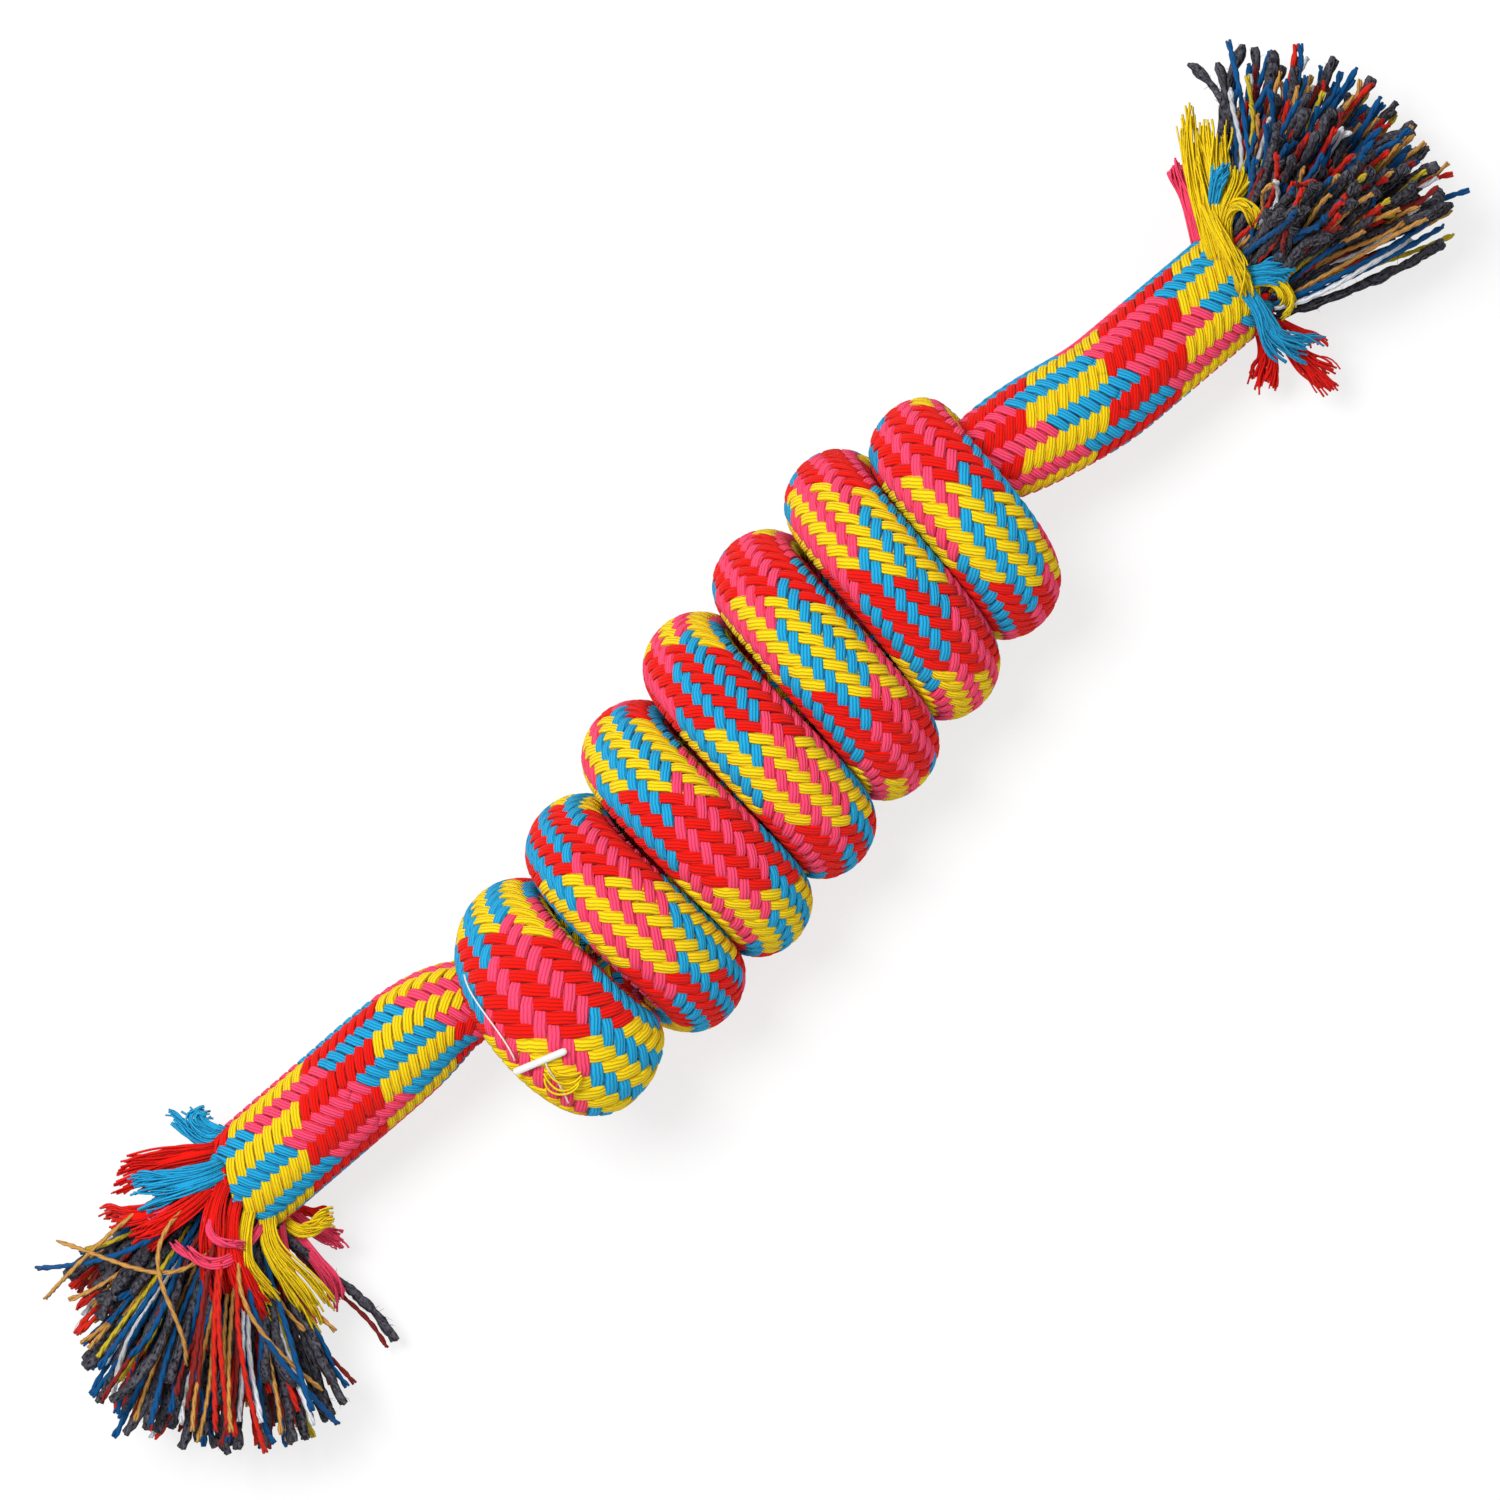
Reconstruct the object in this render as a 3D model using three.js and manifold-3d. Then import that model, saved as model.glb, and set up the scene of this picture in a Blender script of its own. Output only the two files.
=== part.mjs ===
// Rope dog toy: one thick braided cotton rope tied in a long barrel knot of seven wraps.
// Both tails leave from inside the wraps and end in a brush of core yarns with a frayed jacket.
// Millimetres, +Z up. +X runs along the knot, and the floor is the flat underside of the wraps.
import * as THREE from 'three';
import { mergeVertices } from 'three/addons/utils/BufferGeometryUtils.js';
import Module from 'manifold-3d';

const wasm = await Module();
wasm.setup();

// The rope
const ROPE_RADIUS = 9.5;
const JACKET_WALL = 3;
const FIT_GAP = 0.3;

// The knot: wraps squeezed flat against each other, with two runs of rope inside them
const WRAP_COUNT = 7;
const WRAP_PITCH = 17.4;
const WRAP_GAP = 0.5;
const WRAP_LEAN = 1.2;
const LEAN_GROWTH = 0.55;
const COIL_RADIUS = 24.2;
const WRAP_THICKNESS = 14.4;
const END_WRAP_SWELL = 1.24;
const RUN_GAP = 0.5;
const FLAT_DEPTH = 1.6;
const STEPS_PER_WRAP = 20;

// Where the winding dives into the knot and where the runs lie, as angles round the knot's axis
const LEFT_TURN = { start: 1080, end: 1290, sinkFrom: 0.5, reach: 56 };
const RIGHT_TURN = { start: -930, end: -1200, sinkFrom: 0.4, reach: 44 };
const TURN_STEPS = 14;
const TURN_EASE = 0.4;
const RUN_STEPS = 12;
const RUN_INSET = 7;
const RUN_LEAD = 5;
const EXIT_INSET = 1;

// The tails: mouth is where one leaves the wraps, pivot is where it bends, end is where it was cut
const LEFT_MOUTH = new THREE.Vector3(-69.4, 13.6, 23);
const LEFT_PIVOT = new THREE.Vector3(-86.4, 16.6, 20.5);
const LEFT_END = new THREE.Vector3(-112.4, 21.3, 17);
const RIGHT_MOUTH = new THREE.Vector3(63.6, -0.4, 25);
const RIGHT_PIVOT = new THREE.Vector3(81.6, -7.4, 21.5);
const RIGHT_END = new THREE.Vector3(111.4, -13, 16.5);
const MOUTH_HALF_THICKNESS = 6.5;
const MOUTH_HALF_WIDTH = 9;
const MOUTH_SWELL_LENGTH = 6;
const EXIT_HANDLE = 7;
const EXIT_STEPS = 5;
const NECK_RADIUS = 8;
const NECK_LENGTH = 4;
const BEND_RADIUS = 9.2;
const BEND_GAP = 0.5;
const END_FLARE = 0.4;
const END_FLARE_LENGTH = 6;

// The brushes: fans of core yarn round a heading from +X, with half angles in degrees
const YARN_COUNT = 96;
const YARN_ROOT_RADIUS = 0.28;
const YARN_TIP_RADIUS = 0.75;
const BRUSH_OFFSET = 2.5;
const LEFT_BRUSH = { heading: 200.5, halfWidth: 46, tilt: -4, halfHeight: 17, length: 41, droop: 2.5 };
const RIGHT_BRUSH = { heading: 1, halfWidth: 40, tilt: 8, halfHeight: 30, length: 39, droop: 2.5 };

// The jacket's cut strands, gathered in tassels: place round the tail, flare from it, length, colour
const FRAY_ROOT_RADIUS = 1.1;
const FRAY_BELLY_RADIUS = 1.45;
const FRAY_TIP_RADIUS = 0.9;
const FRAY_BEND_LENGTH = 4;
const LEFT_FRAYS = [
  [-10, 88, 11, 'yellow'], [25, 82, 15, 'yellow'], [56, 64, 15, 'red'], [88, 50, 13, 'pink'],
  [118, 48, 13, 'red'], [148, 60, 12, 'blue'], [178, 55, 14, 'red'], [208, 80, 10, 'blue'],
  [245, 50, 10, 'pink'], [285, 60, 9, 'yellow'], [318, 80, 10, 'red'],
];
const RIGHT_FRAYS = [
  [5, 82, 12, 'pink'], [33, 72, 16, 'yellow'], [63, 62, 12, 'blue'], [92, 60, 12, 'yellow'],
  [122, 58, 10, 'blue'], [152, 58, 10, 'yellow'], [182, 88, 9, 'blue'], [208, 88, 13, 'red'],
  [240, 75, 10, 'red'], [280, 55, 9, 'pink'], [325, 70, 10, 'red'],
];

// The tag pin
const PIN_BAR_LENGTH = 10;
const PIN_BAR_RADIUS = 0.75;
const PIN_THREAD_RADIUS = 0.35;
const PIN_THREAD_DEPTH = 1.5;
const PIN_WRAP_ANGLE = 1180;
const PIN_SIDE_ANGLE = 44;
const PIN_TURN = 10;

// Facets
const JACKET_SIDES = 8;
const CORE_SIDES = 6;
const GAP_SIDES = 24;
const TAIL_SIDES = 16;
const BALL_SIDES = 16;
const BALL_RINGS = 10;
const BRUSH_BALL_SIDES = 8;
const BRUSH_BALL_RINGS = 6;
const YARN_SIDES = 3;
const YARN_STATIONS = [0, 0.45, 1];
const YARN_ROOT_DEPTH = 1.4;
const YARN_UNEVEN = 0.14;
const YARN_LENGTHS = 5;
const YARN_SHUFFLE = 7;
const FRAY_SIDES = 6;
const FRAY_RINGS = 6;
const PIN_BAR_SIDES = 10;
const PIN_THREAD_SIDES = 6;
const MERGE_DISTANCE = 1e-4;

const COLOURS = { yellow: 0xf6d60e, red: 0xe2211b, blue: 0x2aa6dc, pink: 0xef4470 };

// Sizes that follow from those above
const wrapRadius = COIL_RADIUS - WRAP_THICKNESS / 2;
const axisHeight = COIL_RADIUS - FLAT_DEPTH;
const wrapHalfThickness = WRAP_THICKNESS / 2;
const runRoom = COIL_RADIUS - WRAP_THICKNESS - RUN_GAP;
const runHalfThickness = (runRoom - RUN_GAP / 2) / 2;
const runHalfWidth = Math.sqrt(runHalfThickness * runRoom);
const runRadius = RUN_GAP / 2 + runHalfThickness;
const coilEnd = WRAP_PITCH * (WRAP_COUNT - 1) / 2;
const boreRadius = ROPE_RADIUS - JACKET_WALL;
const coreRadius = boreRadius - FIT_GAP;
const cupRadius = BEND_RADIUS + BEND_GAP;
const rad = THREE.MathUtils.degToRad;
const UP = new THREE.Vector3(0, 1, 0);
const UP_Z = new THREE.Vector3(0, 0, 1);

function makeMaterial(colour, roughness = 0.9) {
  return new THREE.MeshStandardMaterial({ color: colour, roughness, metalness: 0 });
}

const jacketMaterial = makeMaterial(0xe4572e);
const coreMaterial = makeMaterial(0x4a4a52);
const pinMaterial = makeMaterial(0xf4f4f2, 0.4);

// Solids

function toSolid(geometry) {
  const bare = geometry.clone();
  bare.deleteAttribute('normal');
  bare.deleteAttribute('uv');
  const merged = mergeVertices(bare, MERGE_DISTANCE);
  return new wasm.Manifold(new wasm.Mesh({
    numProp: 3,
    vertProperties: new Float32Array(merged.attributes.position.array),
    triVerts: new Uint32Array(merged.index.array),
  }));
}

function toMesh(solid, name, material) {
  const { vertProperties, triVerts, numProp } = solid.getMesh();
  const geometry = new THREE.BufferGeometry();
  const positions = new Float32Array(vertProperties.length / numProp * 3);
  for (let i = 0; i < positions.length / 3; i += 1) {
    positions.set(vertProperties.subarray(i * numProp, i * numProp + 3), i * 3);
  }
  geometry.setAttribute('position', new THREE.BufferAttribute(positions, 3));
  geometry.setIndex(new THREE.BufferAttribute(new Uint32Array(triVerts), 1));
  geometry.computeVertexNormals();
  const mesh = new THREE.Mesh(geometry, material);
  mesh.name = name;
  return mesh;
}

// A closed tube through rings of points, with a fan on each end
function ringTube(rings) {
  const sides = rings[0].length;
  const positions = rings.flat().flatMap((p) => [p.x, p.y, p.z]);
  const index = [];
  for (let ring = 0; ring + 1 < rings.length; ring += 1) {
    for (let side = 0; side < sides; side += 1) {
      const a = ring * sides + side;
      const b = ring * sides + (side + 1) % sides;
      index.push(a, b, a + sides, b, b + sides, a + sides);
    }
  }
  const last = (rings.length - 1) * sides;
  for (let side = 1; side + 1 < sides; side += 1) {
    index.push(0, side + 1, side, last, last + side, last + side + 1);
  }
  const geometry = new THREE.BufferGeometry();
  geometry.setAttribute('position', new THREE.Float32BufferAttribute(positions, 3));
  geometry.setIndex(index);
  return toSolid(geometry);
}

function ball(centre, radius, sides = BALL_SIDES, rings = BALL_RINGS) {
  const geometry = new THREE.SphereGeometry(radius, sides, rings);
  return toSolid(geometry.translate(centre.x, centre.y, centre.z));
}

// The route of the rope through the knot. Each station has its place, the angle that its flat side
// faces, and the half thickness and half width of the rope there.

function station(x, radius, angle, halfThickness, halfWidth) {
  const place = new THREE.Vector3(
    x,
    radius * Math.cos(rad(angle)),
    axisHeight + radius * Math.sin(rad(angle)),
  );
  return { place, angle, halfThickness, halfWidth };
}

// The wraps lean along the knot on top, and lean more towards its right end
function windingLean(angle) {
  return WRAP_LEAN - LEAN_GROWTH * (angle - 90) / 360;
}

function windingX(angle) {
  return -WRAP_PITCH * (angle - 90) / 360 + windingLean(angle) * Math.cos(rad(angle));
}

// Millimetres along the knot for each degree of winding
function windingSlope(angle) {
  return -(WRAP_PITCH + LEAN_GROWTH * Math.cos(rad(angle))) / 360
    - windingLean(angle) * rad(1) * Math.sin(rad(angle));
}

function wrapHalfWidth(angle) {
  const steepness = Math.atan(windingSlope(angle) / (rad(1) * wrapRadius));
  return ((WRAP_PITCH - LEAN_GROWTH) * Math.cos(steepness) - WRAP_GAP) / 2;
}

// The end of the winding: it swings out past the last wrap, sinks to the middle and turns back inside
function turnStations({ start, end, sinkFrom, reach }) {
  const side = Math.sign(end);
  const fromX = windingX(start);
  const toX = -side * (coilEnd - RUN_INSET + RUN_LEAD);
  const fromSlope = windingSlope(start) * (end - start) * (1 + TURN_EASE);
  const stations = [];
  for (let step = 1; step <= TURN_STEPS; step += 1) {
    const u = step / TURN_STEPS;
    const sweep = (1 + TURN_EASE) * u - TURN_EASE * u ** 3;
    const sink = THREE.MathUtils.smoothstep(u, sinkFrom, 1);
    const swell = END_WRAP_SWELL ** Math.sin(Math.PI * u);
    const x = fromX * (2 * u ** 3 - 3 * u ** 2 + 1) + fromSlope * (u ** 3 - 2 * u ** 2 + u)
      + toX * (3 * u ** 2 - 2 * u ** 3) + side * reach * (u ** 3 - u ** 2);
    stations.push(station(
      x,
      THREE.MathUtils.lerp(wrapRadius, runRadius, sink),
      start + (end - start) * sweep,
      THREE.MathUtils.lerp(wrapHalfThickness, runHalfThickness, sink),
      THREE.MathUtils.lerp(wrapHalfWidth(start), runHalfWidth, sink) * swell,
    ));
  }
  return stations;
}

// A run inside the wraps, from the end of a turn to the far mouth, turning with its twin
function runStations(turn, farTurn) {
  const side = -Math.sign(turn.end);
  const fromX = side * (coilEnd - RUN_INSET);
  const toX = -side * (coilEnd - EXIT_INSET);
  const farAngle = farTurn.end + 180;
  const twist = THREE.MathUtils.euclideanModulo(farAngle - turn.end + 180, 360) - 180;
  const stations = [];
  for (let step = 0; step <= RUN_STEPS; step += 1) {
    const x = THREE.MathUtils.lerp(fromX, toX, step / RUN_STEPS);
    const angle = turn.end + twist * step / RUN_STEPS;
    stations.push(station(x, runRadius, angle, runHalfThickness, runHalfWidth));
  }
  return stations;
}

// A tail's first stretch: it curves out of the wraps, then runs straight to the place where it bends
function stubStations(run, mouth, pivot) {
  const last = run.at(-1);
  const along = new THREE.Vector3().subVectors(pivot, mouth).normalize();
  const inner = last.place.clone();
  const inHandle = inner.clone();
  inHandle.x += Math.sign(pivot.x) * EXIT_HANDLE;
  const outHandle = mouth.clone().addScaledVector(along, -EXIT_HANDLE);
  const curve = new THREE.CubicBezierCurve3(inner, inHandle, outHandle, mouth);
  const stretch = [];
  for (let step = 1; step <= EXIT_STEPS; step += 1) {
    const share = THREE.MathUtils.smoothstep(step / EXIT_STEPS, 0, 1);
    stretch.push({
      place: curve.getPoint(step / EXIT_STEPS),
      halfThickness: THREE.MathUtils.lerp(runHalfThickness, MOUTH_HALF_THICKNESS, share),
      halfWidth: THREE.MathUtils.lerp(runHalfWidth, MOUTH_HALF_WIDTH, share),
    });
  }
  const swellFrom = mouth.distanceTo(pivot) - MOUTH_SWELL_LENGTH;
  for (const [beforePivot, radius] of [
    [swellFrom, ROPE_RADIUS],
    [cupRadius, ROPE_RADIUS],
    [cupRadius - NECK_LENGTH, NECK_RADIUS],
    [0, NECK_RADIUS],
  ]) {
    const place = pivot.clone().addScaledVector(along, -beforePivot);
    stretch.push({ place, halfThickness: radius, halfWidth: radius });
  }
  return stretch.map((one) => ({ ...one, angle: last.angle }));
}

const winding = [];
for (let angle = RIGHT_TURN.start; angle <= LEFT_TURN.start; angle += 360 / STEPS_PER_WRAP) {
  winding.push(station(windingX(angle), wrapRadius, angle, wrapHalfThickness, wrapHalfWidth(angle)));
}
const leftTurn = turnStations(LEFT_TURN);
const rightTurn = turnStations(RIGHT_TURN).reverse();
const runToRight = runStations(LEFT_TURN, RIGHT_TURN);
const runToLeft = runStations(RIGHT_TURN, LEFT_TURN);
const route = [
  ...stubStations(runToLeft, LEFT_MOUTH, LEFT_PIVOT).reverse(),
  ...runToLeft.slice().reverse(),
  ...rightTurn,
  ...winding,
  ...leftTurn,
  ...runToRight,
  ...stubStations(runToRight, RIGHT_MOUTH, RIGHT_PIVOT),
];

// Directions at a station: along the rope, out of its flat side and across it
function directions(stations, i) {
  const before = stations[Math.max(i - 1, 0)].place;
  const after = stations[Math.min(i + 1, stations.length - 1)].place;
  const along = new THREE.Vector3().subVectors(after, before).normalize();
  const angle = rad(stations[i].angle);
  const out = new THREE.Vector3(0, Math.cos(angle), Math.sin(angle));
  out.addScaledVector(along, -out.dot(along)).normalize();
  return { along, out, across: new THREE.Vector3().crossVectors(along, out) };
}

function ellipsePoint(place, { out, across }, halfThickness, halfWidth, around) {
  return place.clone()
    .addScaledVector(out, halfThickness * Math.cos(around))
    .addScaledVector(across, halfWidth * Math.sin(around));
}

// Rings round the route. The wall thins with the rope, because the jacket is squeezed with it.
function routeRings(stations, sides, wall, gap) {
  return stations.map(({ place, halfThickness, halfWidth }, i) => {
    const inset = wall * halfThickness / ROPE_RADIUS + gap;
    const frame = directions(stations, i);
    return Array.from({ length: sides }, (_, side) => ellipsePoint(
      place,
      frame,
      halfThickness - inset,
      halfWidth - inset,
      2 * Math.PI * side / sides,
    ));
  });
}

// The least gap between stretches of the rope that lie further apart along it than one wrap's half turn
function leastGap(stations, sides) {
  const rings = routeRings(stations, sides, 0, 0);
  const travelled = [0];
  for (let i = 1; i < stations.length; i += 1) {
    travelled.push(travelled[i - 1] + stations[i].place.distanceTo(stations[i - 1].place));
  }
  let least = Infinity;
  for (let i = 0; i < rings.length; i += 1) {
    for (let j = i + 1; j < rings.length; j += 1) {
      const near = stations[i].place.distanceTo(stations[j].place) < 2 * COIL_RADIUS;
      if (near && travelled[j] - travelled[i] > Math.PI * wrapRadius) {
        for (const p of rings[i]) {
          for (const q of rings[j]) {
            least = Math.min(least, p.distanceTo(q));
          }
        }
      }
    }
  }
  return { least, length: travelled.at(-1) };
}

const measured = leastGap(route, GAP_SIDES);
console.log(`rope in the knot: ${measured.length.toFixed(0)} mm`);
console.log(`least gap of the rope to itself: ${measured.least.toFixed(2)} mm`);

// The tag pin: a bar across the first wrap, held by a thread that goes into the braid

function rod(from, to, radius, sides) {
  const line = new THREE.Vector3().subVectors(to, from);
  const geometry = new THREE.CylinderGeometry(radius, radius, line.length(), sides);
  geometry.applyQuaternion(new THREE.Quaternion().setFromUnitVectors(UP, line.clone().normalize()));
  const middle = new THREE.Vector3().addVectors(from, to).multiplyScalar(0.5);
  return toSolid(geometry.translate(middle.x, middle.y, middle.z));
}

const pinStation = route.findIndex(({ angle }, i) => i > route.length / 2 && angle > PIN_WRAP_ANGLE);
const pinFrame = directions(route, pinStation);
const { halfThickness: pinThickness, halfWidth: pinWidth, place: pinPlace } = route[pinStation];
const pinAround = rad(PIN_SIDE_ANGLE);
const pinSeat = ellipsePoint(pinPlace, pinFrame, pinThickness, pinWidth, pinAround);
const pinOut = new THREE.Vector3()
  .addScaledVector(pinFrame.out, Math.cos(pinAround) / pinThickness)
  .addScaledVector(pinFrame.across, Math.sin(pinAround) / pinWidth)
  .normalize();
const pinBarLine = new THREE.Vector3().crossVectors(pinFrame.along, pinOut).negate()
  .applyAxisAngle(pinOut, rad(-PIN_TURN));
const pinMiddle = pinSeat.clone().addScaledVector(pinOut, FIT_GAP + PIN_BAR_RADIUS);
const pinBar = rod(
  pinMiddle.clone().addScaledVector(pinBarLine, -PIN_BAR_LENGTH / 2),
  pinMiddle.clone().addScaledVector(pinBarLine, PIN_BAR_LENGTH / 2),
  PIN_BAR_RADIUS,
  PIN_BAR_SIDES,
);
const pinTip = pinSeat.clone().addScaledVector(pinOut, -PIN_THREAD_DEPTH);
const pinThread = rod(pinTip, pinMiddle, PIN_THREAD_RADIUS, PIN_THREAD_SIDES);
const pinHole = rod(
  pinTip.clone().addScaledVector(pinOut, -FIT_GAP),
  pinMiddle,
  PIN_THREAD_RADIUS + FIT_GAP,
  PIN_THREAD_SIDES,
);

// The knot: the jacket is the squeezed tube less its bore, its bends' cups and the flat underneath

const floorDepth = 2 * COIL_RADIUS;
const floorBlock = toSolid(
  new THREE.BoxGeometry(4 * coilEnd, 4 * COIL_RADIUS, floorDepth).translate(0, 0, -floorDepth / 2),
);
const leftCup = ball(LEFT_PIVOT, cupRadius);
const rightCup = ball(RIGHT_PIVOT, cupRadius);
const coreRoute = route.filter((one) => winding.indexOf(one) % 2 !== 1);
const knotJacket = ringTube(routeRings(route, JACKET_SIDES, 0, 0))
  .subtract(ringTube(routeRings(coreRoute, CORE_SIDES, JACKET_WALL, 0)))
  .subtract(leftCup)
  .subtract(rightCup)
  .subtract(pinHole)
  .subtract(floorBlock);
const knotCore = ringTube(routeRings(coreRoute, CORE_SIDES, JACKET_WALL, FIT_GAP))
  .subtract(leftCup)
  .subtract(rightCup);

const toy = new THREE.Group();
toy.position.x = WRAP_PITCH / 2;
toy.add(
  toMesh(knotJacket, 'knot_jacket', jacketMaterial),
  toMesh(knotCore, 'knot_core', coreMaterial),
  toMesh(pinBar.add(pinThread), 'tag_pin', pinMaterial),
);

// The tails: a sleeve of jacket over a core, both cupped round the bend

function turned(profile, pivot, along) {
  const points = profile.map(([radius, distance]) => new THREE.Vector2(radius, distance));
  const geometry = new THREE.LatheGeometry(points, TAIL_SIDES);
  geometry.applyQuaternion(new THREE.Quaternion().setFromUnitVectors(UP, along));
  return toSolid(geometry.translate(pivot.x, pivot.y, pivot.z));
}

function tailSleeve(pivot, along, length, cup) {
  const inside = cupRadius / 2;
  return turned([
    [boreRadius, inside],
    [NECK_RADIUS, inside],
    [NECK_RADIUS, cupRadius - NECK_LENGTH / 2],
    [ROPE_RADIUS, cupRadius + NECK_LENGTH / 2],
    [ROPE_RADIUS, length - END_FLARE_LENGTH],
    [ROPE_RADIUS + END_FLARE, length],
    [boreRadius, length],
    [boreRadius, inside],
  ], pivot, along).subtract(cup);
}

function tailCore(pivot, along, length, cup, brushCentre) {
  const inside = cupRadius / 2;
  return turned([[0, inside], [coreRadius, inside], [coreRadius, length], [0, length]], pivot, along)
    .subtract(cup)
    .subtract(ball(brushCentre, coreRadius + FIT_GAP));
}

// A brush: yarns fan out of the ball of core that swells from the cut jacket. The yarns are spread
// evenly over the fan by the golden angle, so no two of them cross.
function brush(centre, { heading, halfWidth, tilt, halfHeight, length, droop }) {
  const golden = Math.PI * (3 - Math.sqrt(5));
  const yarns = [];
  for (let yarn = 0; yarn < YARN_COUNT; yarn += 1) {
    const spread = Math.sqrt((yarn + 0.5) / YARN_COUNT);
    const turn = rad(heading + halfWidth * spread * Math.cos(golden * yarn));
    const rise = rad(tilt + halfHeight * spread * Math.sin(golden * yarn));
    const along = new THREE.Vector3(
      Math.cos(turn) * Math.cos(rise),
      Math.sin(turn) * Math.cos(rise),
      Math.sin(rise),
    );
    const side = new THREE.Vector3(-Math.sin(turn), Math.cos(turn), 0);
    const up = new THREE.Vector3().crossVectors(along, side);
    const shortness = (yarn * YARN_SHUFFLE % YARN_LENGTHS) / (YARN_LENGTHS - 1);
    const reach = length * (1 - YARN_UNEVEN * shortness);
    const rings = YARN_STATIONS.map((share) => {
      const distance = THREE.MathUtils.lerp(coreRadius - YARN_ROOT_DEPTH, reach, share);
      const radius = THREE.MathUtils.lerp(YARN_ROOT_RADIUS, YARN_TIP_RADIUS, share);
      const place = centre.clone().addScaledVector(along, distance);
      place.z -= droop * (distance / length) ** 2;
      return Array.from({ length: YARN_SIDES }, (_, i) => {
        const around = 2 * Math.PI * i / YARN_SIDES;
        return place.clone()
          .addScaledVector(side, radius * Math.cos(around))
          .addScaledVector(up, radius * Math.sin(around));
      });
    });
    yarns.push(ringTube(rings));
  }
  return wasm.Manifold.union([ball(centre, coreRadius, BRUSH_BALL_SIDES, BRUSH_BALL_RINGS), ...yarns]);
}

// A tassel of jacket strands: it leaves the cut face square, then flares away from the brush
function fray(end, along, [place, flare, length]) {
  const side = new THREE.Vector3().crossVectors(UP_Z, along).normalize();
  const up = new THREE.Vector3().crossVectors(along, side);
  const out = side.clone().multiplyScalar(Math.cos(rad(place))).addScaledVector(up, Math.sin(rad(place)));
  const round = new THREE.Vector3().crossVectors(along, out);
  const point = end.clone()
    .addScaledVector(along, FIT_GAP)
    .addScaledVector(out, (boreRadius + ROPE_RADIUS) / 2);
  const radii = [FRAY_ROOT_RADIUS, FRAY_BELLY_RADIUS, FRAY_TIP_RADIUS];
  const step = length / (FRAY_RINGS - 1);
  const rings = [];
  for (let ring = 0; ring < FRAY_RINGS; ring += 1) {
    const distance = ring * step;
    const bend = rad(flare) * Math.min(distance / FRAY_BEND_LENGTH, 1);
    const heading = along.clone().multiplyScalar(Math.cos(bend)).addScaledVector(out, Math.sin(bend));
    const across = new THREE.Vector3().crossVectors(heading, round);
    const share = 2 * distance / length;
    const radius = share < 1
      ? THREE.MathUtils.lerp(radii[0], radii[1], share)
      : THREE.MathUtils.lerp(radii[1], radii[2], share - 1);
    rings.push(Array.from({ length: FRAY_SIDES }, (_, i) => {
      const around = 2 * Math.PI * i / FRAY_SIDES;
      return point.clone()
        .addScaledVector(across, radius * Math.cos(around))
        .addScaledVector(round, -radius * Math.sin(around));
    }));
    point.addScaledVector(heading, step);
  }
  return ringTube(rings);
}

function addTail(name, pivot, end, fan, frays, cup) {
  const line = new THREE.Vector3().subVectors(end, pivot);
  const length = line.length();
  const along = line.normalize();
  const brushCentre = end.clone().addScaledVector(along, BRUSH_OFFSET);
  toy.add(
    toMesh(ball(pivot, BEND_RADIUS), `${name}_rope_bend`, jacketMaterial),
    toMesh(tailSleeve(pivot, along, length, cup), `${name}_tail_jacket`, jacketMaterial),
    toMesh(tailCore(pivot, along, length, cup, brushCentre), `${name}_tail_core`, coreMaterial),
    toMesh(brush(brushCentre, fan), `${name}_brush`, coreMaterial),
  );
  frays.forEach((one, i) => {
    const material = makeMaterial(COLOURS[one[3]]);
    toy.add(toMesh(fray(end, along, one), `${name}_fray_${String(i + 1).padStart(2, '0')}`, material));
  });
}

addTail('left', LEFT_PIVOT, LEFT_END, LEFT_BRUSH, LEFT_FRAYS, leftCup);
addTail('right', RIGHT_PIVOT, RIGHT_END, RIGHT_BRUSH, RIGHT_FRAYS, rightCup);

export default toy;
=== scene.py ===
import math

import bpy
import numpy as np
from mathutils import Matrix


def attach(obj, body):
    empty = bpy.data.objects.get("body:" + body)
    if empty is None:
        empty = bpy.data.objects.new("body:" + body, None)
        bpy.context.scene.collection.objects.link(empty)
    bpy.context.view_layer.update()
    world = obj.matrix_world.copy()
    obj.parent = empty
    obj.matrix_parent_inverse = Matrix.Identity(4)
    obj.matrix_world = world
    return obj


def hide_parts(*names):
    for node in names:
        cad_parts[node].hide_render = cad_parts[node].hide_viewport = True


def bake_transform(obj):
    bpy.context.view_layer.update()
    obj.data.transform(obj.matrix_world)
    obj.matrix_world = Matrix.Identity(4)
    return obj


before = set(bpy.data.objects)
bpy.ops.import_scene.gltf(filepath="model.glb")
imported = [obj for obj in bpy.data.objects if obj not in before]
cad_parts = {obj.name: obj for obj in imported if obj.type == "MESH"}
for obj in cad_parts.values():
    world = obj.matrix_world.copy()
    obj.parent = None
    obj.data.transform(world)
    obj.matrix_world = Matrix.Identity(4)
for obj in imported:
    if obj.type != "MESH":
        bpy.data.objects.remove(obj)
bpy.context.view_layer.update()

# The knot: one braided cotton rope, wound in seven leaning wraps that dive into the coil at both ends.
# Inside the braid runs a loose core of waste yarn. The knot is pulled tight and holds by friction alone.
# Sizes are millimetres from the coil's middle, and angles are degrees round its axis, 90 at the top.
TAU = 2 * math.pi
METRE = 0.001
TOP = 90
WRAP_COUNT = 7
WRAP_PITCH = 17.4
WRAP_LEAN = -0.6
LEAN_GROWTH = 0.6
COIL_RADIUS = 24.2
WRAP_THICKNESS = 14.4
WRAP_PRESS = 0.1
WINDING_STEP = 3.0
FLAT_DEPTH = 1.6
FLOOR_PRESS = 1.5
AXIS_HEIGHT = COIL_RADIUS - FLAT_DEPTH
WRAP_RADIUS = COIL_RADIUS - WRAP_THICKNESS / 2
COIL_END = WRAP_PITCH * (WRAP_COUNT - 1) / 2
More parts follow.
